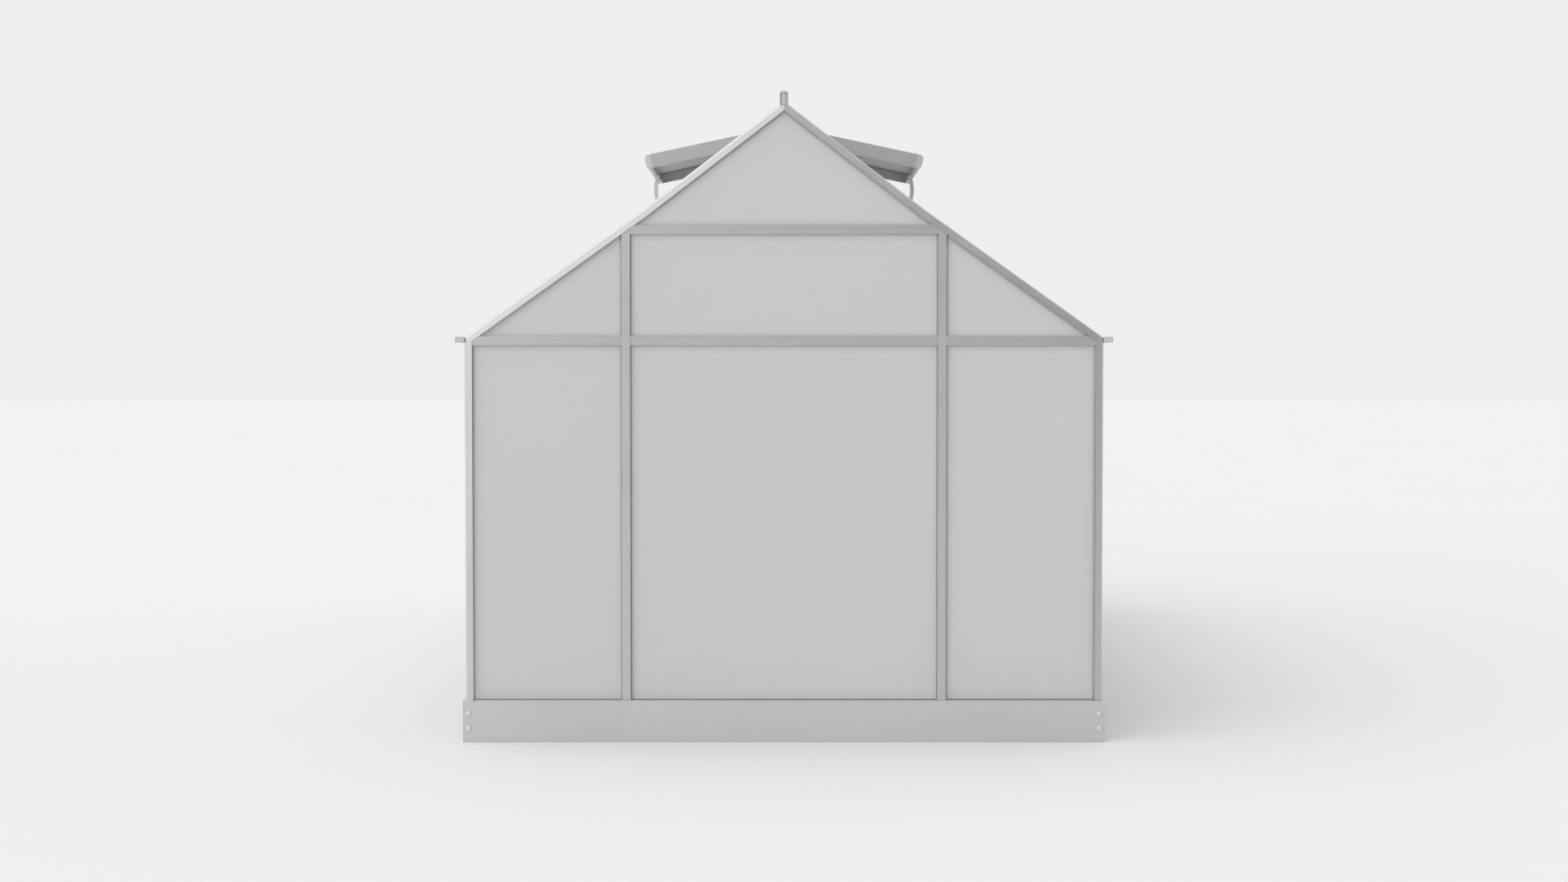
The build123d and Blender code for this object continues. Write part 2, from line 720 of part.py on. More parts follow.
def knee_joiner(index):
    """H-shaped strip where the upper and lower roof panes of a bay meet, on the +X slope."""
    knee = knee_x(0)
    y_outer = bay_inside(index, bar_face / 2 + fit, fit)
    y_inner = bay_inside(index, seat_width / 2 + fit, seat_leg + fit)
    strip = (knee - joiner_half, knee + joiner_half)
    seat_under = pane_inner + seat_gap + seat_thickness
    cover = slab(roof_band(*strip, ridge_cover_depth, pane_setback - seat_gap), *y_outer)
    seat = slab(roof_band(*strip, pane_inner + seat_gap, seat_under), *y_inner)
    middle = (knee - joiner_web / 2, knee + joiner_web / 2)
    core = slab(roof_band(*middle, pane_setback - seat_gap, pane_inner + seat_gap), *y_inner)
    return joined(cover, seat, core)


def crest_plug(end):
    """Plug in the crest's end, creased down its middle."""
    half = crest_width / 2 - crest_wall - fit
    low, high = apex_cut_height + crest_wall + fit, crest_top - crest_wall - fit
    near, side, back = (
        gable_span(end, frame_setback + depth, 0)[0 if end == "rear" else 1]
        for depth in (crest_plug_crease, crest_plug_side, crest_plug_back)
    )
    with BuildPart() as plug:
        with BuildSketch(Plane.XY.offset(low)):
            with BuildLine():
                Polyline((0, near), (half, side), (half, back), (-half, back), (-half, side), close=True)
            make_face()
        extrude(amount=high - low)
        fillet(plug.edges().filter_by(Axis.Y), crest_round - crest_wall)
    return plug.part


keep("end_caps", group([*right_caps.solids(), *[mirrored(cap) for cap in right_caps.solids()],
                        *[crest_plug(end) for end in ends]]))
keep("ridge_beam", ridge())
right_roof_bars = [roof_bar(y) for y in bar_lines]
keep("roof_bars", group(right_roof_bars + [mirrored(bar) for bar in right_roof_bars]))
right_joiners = [knee_joiner(index) for index in range(bay_count)]
keep("knee_joiners", group(right_joiners + [mirrored(strip) for strip in right_joiners]))


# ---- panes ---------------------------------------------------------------------------------------
pane_foot = floor_of_frame + pane_lift
pane_side = web / 2 + pane_gap
lower_middle = lower_bar_low + cross_bar_face / 2
upper_middle = upper_bar_low + cross_bar_face / 2
wall_pane_top = eave_height - wall_pane_drop


def gable_pane(end, x_range, z_range):
    """One pane of a gable, cut to the rafters and posts with an open groove beside them."""
    span = gable_span(end, frame_setback + pane_setback, frame_setback + pane_inner)
    whole = block(x_range, span, z_range)
    return inside_gable(whole, bar_face + glazing_gap, post_inner - glazing_gap, span)


def gable_panes(end):
    """All the panes of one gable: the gable with doors has none in the doorway."""
    side = (bay_split + pane_side, post_inner)
    middle = (-bay_split + pane_side, bay_split - pane_side)
    rows = [(pane_foot, lower_middle - pane_side), (lower_middle + pane_side, apex_height)]
    panes = []
    for row in rows:
        panes += [gable_pane(end, side, row), gable_pane(end, (-side[1], -side[0]), row)]
    panes.append(gable_pane(end, (-post_inner, post_inner), (upper_middle + pane_side, apex_height)))
    if end == "rear":
        panes.append(gable_pane(end, middle, rows[0]))
        panes.append(gable_pane(end, middle, (rows[1][0], upper_middle - pane_side)))
    return panes


def wall_pane(index):
    """One pane of the +X wall."""
    x_range = (frame_half - pane_inner, frame_half - pane_setback)
    return block(x_range, bay_inside(index, pane_side, glazing_gap), (pane_foot, wall_pane_top))


def roof_pane(index, x_in, x_out):
    """One pane of the +X slope."""
    return slab(roof_band(x_in, x_out, pane_setback, pane_inner), *bay_inside(index, pane_side, pane_gap))


keep("rear_gable_panes", group(gable_panes("rear")))
keep("front_gable_panes", group(gable_panes("front")))
wall_panes = [wall_pane(index) for index in range(bay_count)]
keep("wall_panes", group(wall_panes + [mirrored(pane) for pane in wall_panes]))
knee_gap = joiner_web / 2 + pane_gap + joiner_pane_gap
lower_panes = [roof_pane(index, knee_x(0) + knee_gap, frame_half - 2) for index in range(bay_count)]
keep("lower_roof_panes", group(lower_panes + [mirrored(pane) for pane in lower_panes]))
upper_panes = [
    roof_pane(index, crest_width / 2 + ridge_pane_gap, knee_x(0) - knee_gap)
    for index in range(bay_count) if index != vent_bay
]
keep("upper_roof_panes", group(upper_panes + [mirrored(pane) for pane in upper_panes]))


# ---- roof vents ----------------------------------------------------------------------------------
vent_low, vent_high = bay_inside(vent_bay, bar_face / 2 + vent_clearance, 0)
vent_middle = (vent_low + vent_high) / 2
vent_slope = radians(vent_open_slope)


def vent_plane(y_high):
    """Section plane of the propped vent: x down its slope from the hinge axis, y away from its top face."""
    down_slope = (cos(vent_slope), 0, -sin(vent_slope))
    return Plane(origin=(hinge_x, y_high, hinge_z), x_dir=down_slope, z_dir=(0, -1, 0))


def vent_slab(points, y_low, y_high):
    """A plate of the vent with this outline in its section plane."""
    with BuildPart() as plate:
        with BuildSketch(vent_plane(y_high)):
            with BuildLine():
                Polyline(*points, close=True)
            make_face()
        extrude(amount=y_high - y_low)
    return plate.part


def vent_block(u_range, v_range, y_low, y_high):
    """A rectangular bar of the vent."""
    (u0, u1), (v0, v1) = u_range, v_range
    return vent_slab([(u0, v0), (u1, v0), (u1, v1), (u0, v1)], y_low, y_high)


def vent_top_rail():
    """Hinge rail with a round bore along its whole length and a groove for the panel."""
    with BuildPart() as rail:
        with BuildSketch(vent_plane(vent_high)):
            with Locations((vent_top_rail_width / 2, (vent_top + vent_top_rail_under) / 2)):
                Rectangle(vent_top_rail_width, vent_top - vent_top_rail_under)
            Circle(vent_top)
            Circle(hinge_pin_radius + running_fit, mode=Mode.SUBTRACT)
        extrude(amount=vent_high - vent_low)
    groove = vent_block((vent_top_rail_width - vent_panel_bite - 0.5, vent_top_rail_width + 1),
                        (vent_panel_top - pane_thickness - 0.3, vent_panel_top + 0.3),
                        vent_low - 1, vent_high + 1)
    return trimmed(rail.part, groove)


def vent_side_rail_part(outer_y, inward):
    """Side rail: a deep outer web with a top flange, a ledge under the panel and a bottom return."""
    def span(width):
        return sorted((outer_y, outer_y + inward * width))
    end_u = vent_reach - vent_nose - fit
    start_u = vent_top_rail_width + fit
    web_outline = [
        (start_u, vent_top), (end_u, vent_top), (end_u, vent_under), (vent_chamfer_end, vent_under),
        (vent_chamfer_start, vent_top_rail_under), (start_u, vent_top_rail_under),
    ]
    panel_under = vent_panel_top - pane_thickness
    return joined(
        vent_slab(web_outline, *span(vent_wall)),
        vent_block((start_u, end_u), (vent_top - vent_wall, vent_top), *span(vent_side_rail)),
        vent_block((start_u, end_u), (panel_under - vent_wall - 0.3, panel_under - 0.3),
                   *span(vent_side_rail / 2)),
        vent_block((vent_chamfer_end, end_u), (vent_under, vent_under + vent_wall),
                   *span(vent_side_rail / 2)),
    )


def nose_section(y_high, depth, hollow):
    """A length of the nose rail's rounded section."""
    with BuildPart() as rail:
        with BuildSketch(vent_plane(y_high)) as outline:
            with Locations((vent_reach - vent_nose / 2, (vent_top + vent_under) / 2)):
                Rectangle(vent_nose, vent_top - vent_under)
            fillet(outline.vertices().sort_by(Axis.X)[-2:], vent_nose_round)
            if hollow:
                offset(amount=-vent_wall, mode=Mode.SUBTRACT)
        extrude(amount=depth)
    return rail.part


def vent_nose_rail():
    """Hollow nose rail with a rounded outer face and closed ends."""
    tube = nose_section(vent_high, vent_high - vent_low, True)
    ends_of_tube = [nose_section(y, vent_wall, False) for y in (vent_high, vent_low + vent_wall)]
    rail = joined(tube, *ends_of_tube)
    groove = vent_block((vent_reach - vent_nose - 1, vent_reach - vent_nose + vent_panel_bite),
                        (vent_panel_top - pane_thickness - seat_gap, vent_panel_top + seat_gap),
                        vent_low + vent_wall + 1, vent_high - vent_wall - 1)
    return trimmed(rail, groove)


def vent_panel():
    """Twin-wall panel held in the vent's rails."""
    u_range = (vent_top_rail_width - vent_panel_bite, vent_reach - vent_nose + vent_panel_bite - 1)
    v_range = (vent_panel_top - pane_thickness, vent_panel_top)
    return vent_block(u_range, v_range, vent_low + vent_wall + 1.5, vent_high - vent_wall - 1.5)


stay_half = stay_thickness / 2
cheek_inner = stay_half + stay_clearance
cheek_outer = cheek_inner + cheek_thickness
cheek_spans = [(vent_middle - cheek_outer, vent_middle - cheek_inner),
               (vent_middle + cheek_inner, vent_middle + cheek_outer)]


def vent_stay_bracket():
    """Two cheeks under the nose rail that hold the stay's pin."""
    u_range = (stay_pivot_u - bracket_half, stay_pivot_u + bracket_half)
    base = vent_block(u_range, (vent_under - bracket_plate, vent_under),
                      vent_middle - bracket_half_length, vent_middle + bracket_half_length)
    cheeks = [
        vent_block((stay_pivot_u - cheek_half, stay_pivot_u + cheek_half),
                   (stay_pivot_v - cheek_half, vent_under - bracket_plate), *span)
        for span in cheek_spans
    ]
    with BuildPart() as drilled:
        add(joined(base, *cheeks))
        with BuildSketch(vent_plane(vent_middle + cheek_outer)):
            with Locations((stay_pivot_u, stay_pivot_v)):
                Circle(stay_pin_radius)
        extrude(amount=2 * cheek_outer, mode=Mode.SUBTRACT)
    return drilled.part


def vent_stay_pin():
    """Pin through the bracket and the stay."""
    reach = cheek_outer + 2
    with BuildPart() as pin:
        with BuildSketch(vent_plane(vent_middle + reach)):
            with Locations((stay_pivot_u, stay_pivot_v)):
                Circle(stay_pin_radius)
        extrude(amount=2 * reach)
    return pin.part


pivot_x = hinge_x + stay_pivot_u * cos(vent_slope) + stay_pivot_v * sin(vent_slope)
pivot_z = hinge_z - stay_pivot_u * sin(vent_slope) + stay_pivot_v * cos(vent_slope)


def vent_stay():
    """Curved flat bar that props the vent: bowed outwards, then curling in over the opening's edge."""
    with BuildPart() as bar:
        with BuildSketch(Plane.XZ.offset(-(vent_middle + stay_half))):
            with BuildLine() as middle:
                bow = ThreePointArc((pivot_x, pivot_z), (pivot_x + 6, pivot_z - 40),
                                    (pivot_x - 2, pivot_z - 84))
                TangentArc(bow @ 1, (stay_end_x, stay_end_z), tangent=bow % 1)
            trace(line_width=stay_width)
            with Locations((pivot_x, pivot_z), (stay_end_x, stay_end_z)):
                Circle(stay_width / 2)
            with Locations((pivot_x, pivot_z)):
                Circle(stay_pin_radius + running_fit, mode=Mode.SUBTRACT)
        extrude(amount=stay_thickness)
    return bar.part


def sill_point(x, depth):
    """A point square under the roof's outer face at x."""
    return x - depth * sin(upper_angle), roof_z(x, 0) - depth * cos(upper_angle)


sill_x = hinge_x + (vent_reach + vent_end_gap) * cos(upper_angle) + 2
stay_end_x = sill_x - stay_overrun
stay_end_z = roof_z(sill_x, 0)


def vent_sill():
    """Plate between the vent's nose and the knee, with a leg that closes the opening's lower edge."""
    wide = bay_inside(vent_bay, bar_face / 2 + fit, 0)
    narrow = bay_inside(vent_bay, seat_width / 2 + fit, 0)
    plate_end = knee_x(0) - 14 - fit
    near = sill_x - ridge_cover_depth * sin(upper_angle)
    plate = slab(roof_band(near, plate_end, ridge_cover_depth, ridge_cover_depth + ridge_cover_sheet), *wide)
    along = vent_wall * cos(upper_angle)
    leg = slab([sill_point(sill_x, ridge_cover_depth), sill_point(sill_x + along, ridge_cover_depth),
                sill_point(sill_x + along, sill_leg), sill_point(sill_x, sill_leg)], *narrow)
    return joined(plate, leg)


def stay_guide():
    """Fork on the sill: its cheeks keep the stay from swinging sideways."""
    near, far = sill_x + guide_near, sill_x + guide_far
    top_z = roof_z(near, 0) + guide_rise
    foot = [(far, roof_z(far, ridge_cover_depth)), (near, roof_z(near, ridge_cover_depth))]
    return group([slab([(near, top_z), (far, top_z), *foot], *span) for span in cheek_spans])


def stay_clamp_knob():
    """Thumb knob on the guide that grips the stay."""
    start = vent_middle + cheek_outer
    centre = (sill_x + (guide_near + guide_far) / 2, roof_z(sill_x, 0) + knob_rise)
    with BuildPart() as knob:
        with BuildSketch(Plane.XZ.offset(-(start + knob_stub + knob_length))):
            with Locations(centre):
                Circle(knob_radius)
        extrude(amount=knob_length)
        with BuildSketch(Plane.XZ.offset(-(start + knob_stub))):
            with Locations(centre):
                Circle(knob_stub_radius)
        extrude(amount=knob_stub)
    return knob.part


def hinge_lug_at(y_low):
    """One plate on the ridge cover, with the hinge rod's bore."""
    inner_x, outer_x = crest_width / 2 + 1, ridge_cover_half - 1
    outline = [
        (inner_x, roof_z(inner_x, ridge_cover_depth)), (outer_x, roof_z(outer_x, ridge_cover_depth)),
        (hinge_x + vent_top, hinge_z), (hinge_x - vent_top, hinge_z),
    ]
    with BuildPart() as plate:
        add(slab(outline, y_low, y_low + hinge_lug))
        with BuildSketch(Plane.XZ.offset(-(y_low + hinge_lug))):
            with Locations((hinge_x, hinge_z)):
                Circle(vent_top)
        extrude(amount=hinge_lug)
        with BuildSketch(Plane.XZ.offset(-(y_low + hinge_lug))):
            with Locations((hinge_x, hinge_z)):
                Circle(hinge_pin_radius + running_fit)
        extrude(amount=hinge_lug, mode=Mode.SUBTRACT)
    return plate.part


def hinge_rod():
    """Steel rod through the lugs and the vent's top rail."""
    reach = hinge_lug_gap + hinge_lug
    with BuildPart() as rod:
        with BuildSketch(Plane.XZ.offset(-(vent_high + reach))):
            with Locations((hinge_x, hinge_z)):
                Circle(hinge_pin_radius)
        extrude(amount=vent_high - vent_low + 2 * reach)
    return rod.part


def both_sides(name, part):
    """Writes a piece of the right slope and its mirror image on the left."""
    keep(f"right_{name}", part)
    solids = part.solids()
    keep(f"left_{name}", mirrored(part) if len(solids) == 1 else group([mirrored(solid) for solid in solids]))


both_sides("vent_top_rail", vent_top_rail())
both_sides("vent_side_rails", group([vent_side_rail_part(vent_low, 1), vent_side_rail_part(vent_high, -1)]))
both_sides("vent_nose_rail", vent_nose_rail())
both_sides("vent_panel", vent_panel())
both_sides("vent_stay_bracket", vent_stay_bracket())
both_sides("vent_stay_pin", vent_stay_pin())
both_sides("vent_stay", vent_stay())
right_vent_sill = vent_sill()
keep("vent_sills", group([right_vent_sill, mirrored(right_vent_sill)]))
right_guides = stay_guide().solids()
keep("stay_guides", group([*right_guides, *[mirrored(guide) for guide in right_guides]]))
right_knob = stay_clamp_knob()
keep("stay_clamp_knobs", group([right_knob, mirrored(right_knob)]))
right_lugs = [hinge_lug_at(vent_low - hinge_lug_gap - hinge_lug), hinge_lug_at(vent_high + hinge_lug_gap)]
keep("vent_hinge_lugs", group([*right_lugs, *[mirrored(lug) for lug in right_lugs]]))
right_rod = hinge_rod()
keep("vent_hinge_rods", group([right_rod, mirrored(right_rod)]))


# ---- doors ---------------------------------------------------------------------------------------
leaf_outer = frame_setback
leaf_inner = frame_setback + door_thickness
leaf_low = base_height + threshold_height + door_gap
leaf_high = upper_bar_low - door_gap
leaf_edge = door_half - door_gap
leaf_start = door_meeting_gap / 2
panel_outer = leaf_outer + (door_thickness - pane_thickness) / 2
rail_bands = [
    (leaf_low, leaf_low + 2 * door_stile),
    (door_mid_height, door_mid_height + door_stile),
    (leaf_high - door_stile, leaf_high),
]
hinge_lows = (leaf_low + door_hinge_inset, leaf_high - door_hinge_inset - door_hinge_length)
door_axis_x = door_half - door_gap / 2
door_axis_depth = frame_setback - hinge_barrel_radius - 0.4


def front_block(x_range, outer, inner, z_range):
    """A bar of the gable with doors, between two depths behind the base's outer face."""
    return block(x_range, gable_span("front", outer, inner), z_range)


def door_panel(low, high):
    """One panel of the +X leaf."""
    x_range = (leaf_start + door_stile - door_panel_bite, leaf_edge - door_stile + door_panel_bite)
    z_range = (low - door_panel_bite, high + door_panel_bite)
    return front_block(x_range, panel_outer, panel_outer + pane_thickness, z_range)


def door_panels():
    """The two panels of the +X leaf."""
    return [door_panel(rail_bands[0][1], rail_bands[1][0]), door_panel(rail_bands[1][1], rail_bands[2][0])]


def leaf_member(x_range, z_range, hollow_bar):
    """A member of the +X leaf with a groove for the panels: the upright ones are hollow."""
    (x0, x1), (z0, z1) = x_range, z_range
    member = front_block(x_range, leaf_outer, leaf_inner, z_range)
    if hollow_bar:
        hollow = front_block((x0 + door_sheet, x1 - door_sheet),
                             leaf_outer + door_sheet, leaf_inner - door_sheet,
                             (z0 + door_sheet, z1 - door_sheet))
        member = trimmed(member, hollow)
    for panel in door_panels():
        box = panel.bounding_box()
        slot = block((box.min.X - fit, box.max.X + fit), (box.min.Y - fit, box.max.Y + fit),
                     (box.min.Z - fit, box.max.Z + fit))
        member = trimmed(member, slot)
    return member


def leaf_stiles():
    """Upright members of the +X leaf."""
    tall = (leaf_low, leaf_high)
    meeting = leaf_member((leaf_start, leaf_start + door_stile), tall, True)
    hanging = leaf_member((leaf_edge - door_stile, leaf_edge), tall, True)
    return [meeting, hanging]


def leaf_rails():
    """Level members of the +X leaf."""
    x_range = (leaf_start + door_stile + fit, leaf_edge - door_stile - fit)
    return [leaf_member(x_range, band, False) for band in rail_bands]


def pull_handle():
    """Upright grip on two short posts, on the meeting stile of the +X leaf."""
    x = leaf_start + door_stile / 2
    outer_y = front_y - leaf_outer
    reach = front_y + handle_reach
    post_heights = (handle_height + handle_post_inset, handle_height + handle_length - handle_post_inset)
    with BuildPart() as handle:
        with BuildSketch(Plane.XY.offset(handle_height)):
            with Locations((x, reach - handle_radius)):
                Circle(handle_radius)
        extrude(amount=handle_length)
        with BuildSketch(Plane.XZ.offset(-(reach - handle_radius))):
            with Locations((x, post_heights[0]), (x, post_heights[1])):
                Circle(handle_radius - 1)
        extrude(amount=reach - handle_radius - outer_y)
    return handle.part


def barrel(z_low, z_high):
    """Hinge knuckle with its bore, round the +X door's axis."""
    with BuildPart() as knuckle:
        with BuildSketch(Plane.XY.offset(z_low)):
            with Locations((door_axis_x, front_y - door_axis_depth)):
                Circle(hinge_barrel_radius)
                Circle(door_pin_radius + running_fit, mode=Mode.SUBTRACT)
        extrude(amount=z_high - z_low)
    return knuckle.part


def pin_cutter(z_low, z_high):
    """Space for the hinge pin."""
    with BuildPart() as space:
        with BuildSketch(Plane.XY.offset(z_low)):
            with Locations((door_axis_x, front_y - door_axis_depth)):
                Circle(door_pin_radius + running_fit)
        extrude(amount=z_high - z_low)
    return space.part


def hinge_half(z_low, on_jamb):
    """Half of a door hinge: the lower knuckle sits on the jamb and the upper one on the leaf."""
    middle = z_low + door_hinge_length / 2
    low, high = (z_low, middle - fit) if on_jamb else (middle + fit, z_low + door_hinge_length)
    if on_jamb:
        x_range = (door_axis_x, door_axis_x + door_hinge_plate_width)
    else:
        x_range = (door_axis_x - door_hinge_plate_width, door_axis_x)
    plate = front_block(x_range, frame_setback - door_hinge_plate, frame_setback, (low, high))
    half = joined(barrel(low, high), plate)
    return trimmed(half, pin_cutter(low - 1, high + 1))


def door_pin(z_low):
    """Hinge pin through both knuckles."""
    with BuildPart() as pin:
        with BuildSketch(Plane.XY.offset(z_low - 2)):
            with Locations((door_axis_x, front_y - door_axis_depth)):
                Circle(door_pin_radius)
        extrude(amount=door_hinge_length + 4)
    return pin.part


latch_x = leaf_start + door_stile / 2
latch_z = handle_height + handle_length + latch_above_handle


def turn_latch():
    """Knob outside, spindle through the meeting stile, tongue inside that turns behind the other leaf."""
    outer_y = front_y - leaf_outer + 0.5
    inner_y = front_y - leaf_inner - 1.0
    tongue_width, tongue_length, tongue_thickness = latch_tongue
    with BuildPart() as latch:
        with BuildSketch(Plane.XZ.offset(-(outer_y + latch_knob))):
            with Locations((latch_x, latch_z)):
                Circle(latch_radius)
        extrude(amount=latch_knob)
        fillet(latch.faces().sort_by(Axis.Y)[-1].edges(), 2)
        with BuildSketch(Plane.XZ.offset(-outer_y)):
            with Locations((latch_x, latch_z)):
                Circle(latch_spindle)
        extrude(amount=outer_y - inner_y)
        with BuildSketch(Plane.XZ.offset(-inner_y)):
            with Locations((latch_x, latch_z + tongue_length / 2 - 2 * latch_spindle)):
                Rectangle(tongue_width, tongue_length)
        extrude(amount=tongue_thickness)
    return latch.part


def spindle_hole(part):
    """The part with the latch spindle's bore."""
    with BuildPart() as drilled:
        add(part)
        with BuildSketch(Plane.XZ.offset(-front_y)):
            with Locations((latch_x, latch_z)):
                Circle(latch_spindle + running_fit)
        extrude(amount=40, mode=Mode.SUBTRACT)
    return drilled.part


bolt_x = -(leaf_start + door_stile / 2)
drop_bolt_y = front_y - leaf_inner - drop_bolt_behind


def drop_bolt():
    """Round bolt with a thumb stub, which drops behind the threshold to hold the -X leaf."""
    with BuildPart() as rod:
        with BuildSketch(Plane.XY.offset(leaf_low)):
            with Locations((bolt_x, drop_bolt_y)):
                Circle(drop_bolt_radius)
        extrude(amount=drop_bolt_length)
        with BuildSketch(Plane.XZ.offset(-drop_bolt_y)):
            with Locations((bolt_x, leaf_low + drop_thumb_lift)):
                Circle(drop_thumb[0])
        extrude(amount=drop_thumb[1])
    return rod.part


def drop_bolt_guides():
    """Two blocks on the -X leaf with the bolt's bores."""
    width, height = drop_guide
    blocks = []
    for lift in drop_guide_lifts:
        z = leaf_low + lift
        with BuildPart() as guide:
            add(block((bolt_x - width / 2, bolt_x + width / 2),
                      (drop_bolt_y - drop_bolt_behind, front_y - leaf_inner), (z, z + height)))
            with BuildSketch(Plane.XY.offset(z)):
                with Locations((bolt_x, drop_bolt_y)):
                    Circle(drop_bolt_radius + running_fit)
            extrude(amount=height, mode=Mode.SUBTRACT)
        blocks.append(guide.part)
    return group(blocks)


right_stiles = leaf_stiles()
keep("right_door_stiles", group([spindle_hole(right_stiles[0]), right_stiles[1]]))
keep("left_door_stiles", group([mirrored(stile) for stile in right_stiles]))
right_rails = leaf_rails()
keep("right_door_rails", group(right_rails))
keep("left_door_rails", group([mirrored(rail) for rail in right_rails]))
keep("right_door_panels", group(door_panels()))
keep("left_door_panels", group([mirrored(panel) for panel in door_panels()]))
keep("right_door_handle", pull_handle())
keep("left_door_handle", mirrored(pull_handle()))
leaf_plates = [hinge_half(low, False) for low in hinge_lows]
keep("right_door_hinge_plates", group(leaf_plates))
keep("left_door_hinge_plates", group([mirrored(plate) for plate in leaf_plates]))
jamb_plates = [hinge_half(low, True) for low in hinge_lows]
keep("jamb_hinge_plates", group(jamb_plates + [mirrored(plate) for plate in jamb_plates]))
door_pins = [door_pin(low) for low in hinge_lows]
keep("door_hinge_pins", group(door_pins + [mirrored(pin) for pin in door_pins]))
keep("door_latch", turn_latch())
keep("left_door_bolt", drop_bolt())
keep("left_door_bolt_guides", drop_bolt_guides())
keep("door_threshold", front_block((-door_half + fit, door_half - fit), frame_setback, leaf_inner + 1.5,
                                   (base_height, base_height + threshold_height)))
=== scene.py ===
"""Finishes and small fittings of a span-roof greenhouse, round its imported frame.  Metres, +Z up.

The plain gable faces -Y and the gable with the doors faces +Y.
"""

from math import atan2, cos, radians

import bmesh
import bpy
from mathutils import Matrix, Vector


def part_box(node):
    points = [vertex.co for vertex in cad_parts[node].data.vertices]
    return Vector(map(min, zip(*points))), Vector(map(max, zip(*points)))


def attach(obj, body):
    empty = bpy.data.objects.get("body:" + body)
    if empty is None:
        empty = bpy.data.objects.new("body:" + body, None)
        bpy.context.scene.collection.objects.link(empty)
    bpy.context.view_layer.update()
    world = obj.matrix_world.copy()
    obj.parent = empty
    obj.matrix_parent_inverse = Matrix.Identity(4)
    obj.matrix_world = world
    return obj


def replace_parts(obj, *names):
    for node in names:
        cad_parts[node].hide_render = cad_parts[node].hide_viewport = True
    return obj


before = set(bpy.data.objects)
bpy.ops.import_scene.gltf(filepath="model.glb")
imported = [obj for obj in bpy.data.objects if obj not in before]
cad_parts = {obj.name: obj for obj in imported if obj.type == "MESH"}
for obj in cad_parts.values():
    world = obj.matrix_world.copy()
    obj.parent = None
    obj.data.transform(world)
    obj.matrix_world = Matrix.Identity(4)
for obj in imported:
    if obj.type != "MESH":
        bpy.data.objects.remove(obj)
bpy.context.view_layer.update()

# ---- places read from the frame ------------------------------------------------------------------
base_low, base_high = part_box("base_plate_rear")
gable_face = base_low.y
base_top = base_high.z
mm = 0.001

# ---- camera and light ----------------------------------------------------------------------------
camera_distance = 6.510        # in front of the base's face
camera_height = 1.1245
camera_tilt = 1.933            # degrees below level
lens = 50.0
sensor = 36.0
view_limit = 200               # farthest thing the camera draws
key_energy = 1.42
key_spread = 110               # degrees across
key_direction = (0.50, 0.42, -0.75)
seen_background = (0.863, 0.863, 0.863, 1)
floor_radius = 70
floor_drop = 0.0005            # keeps the floor just under the base


class Shade:
    """One output of a shader node, with arithmetic."""

    def __init__(self, tree, socket=None):
        self.tree, self.socket = tree, socket

    def node(self, kind, settings=None, inputs=None, output=0):
        """Adds a node: settings first, then its inputs by name or number.  Gives one of its outputs."""
        made = self.tree.nodes.new(kind)
        for name, value in (settings or {}).items():
            setattr(made, name, value)
        for name, value in (inputs or {}).items():
            if isinstance(value, Shade):
                self.tree.links.new(value.socket, made.inputs[name])
            else:
                made.inputs[name].default_value = value
        return Shade(self.tree, made.outputs[output])

    def maths(self, operation, *values):
        """A Math node on the given values."""
        return self.node("ShaderNodeMath", {"operation": operation}, dict(enumerate(values)))

    def __add__(self, other):
        return self.maths("ADD", self, other)

    def __sub__(self, other):
        return self.maths("SUBTRACT", self, other)

    def __mul__(self, other):
        return self.maths("MULTIPLY", self, other)

    __radd__ = __add__
    __rmul__ = __mul__


def place(shade, scale=(1, 1, 1)):
    """Object coordinates, scaled."""
    point = shade.node("ShaderNodeTexCoord", output="Object")
    return shade.node("ShaderNodeMapping", None, {"Vector": point, "Scale": scale})


def noise(shade, point, scale, detail=2.0, roughness=0.5):
    """Soft noise at a point, a number of cells to the metre."""
    return shade.node("ShaderNodeTexNoise", None,
                      {"Vector": point, "Scale": scale, "Detail": detail, "Roughness": roughness})


def blend_colours(shade, share, first, second):
    """A colour between two, by share."""
    return shade.node("ShaderNodeMix", {"data_type": "RGBA"},
                      {"Factor": share, "A": (*first, 1), "B": (*second, 1)}, output="Result")


def relief(shade, height, strength, distance):
    """Surface normals of a fine relief."""
    return shade.node("ShaderNodeBump", None,
                      {"Height": height, "Strength": strength, "Distance": distance})


def new_finish(name):
    """A material with its Principled shader, and where to hang the nodes."""
    material = bpy.data.materials.new(name)
    material.use_nodes = True
    tree = material.node_tree
    principled = tree.nodes["Principled BSDF"]
    return material, Shade(tree), principled


def feed(shade, principled, **links):
    """Links shades, or sets plain values, on the Principled shader's sockets."""
    for name, value in links.items():
        socket = principled.inputs[name.replace("_", " ")]
        if isinstance(value, Shade):
            shade.tree.links.new(value.socket, socket)
        else:
            socket.default_value = value


aluminium_rough = 0.25
aluminium_metal = 0.92
# Heights of a darker, warmer band at the foot of the base coat.
foot_band_low, foot_band_high = 0.004, 0.034      # above the floor
foot_band_share = 0.28
foot_band_colour = (0.52, 0.51, 0.49, 1)
plain_through = 0.24                    # share of light let through a fixed pane
vent_through = 0.42


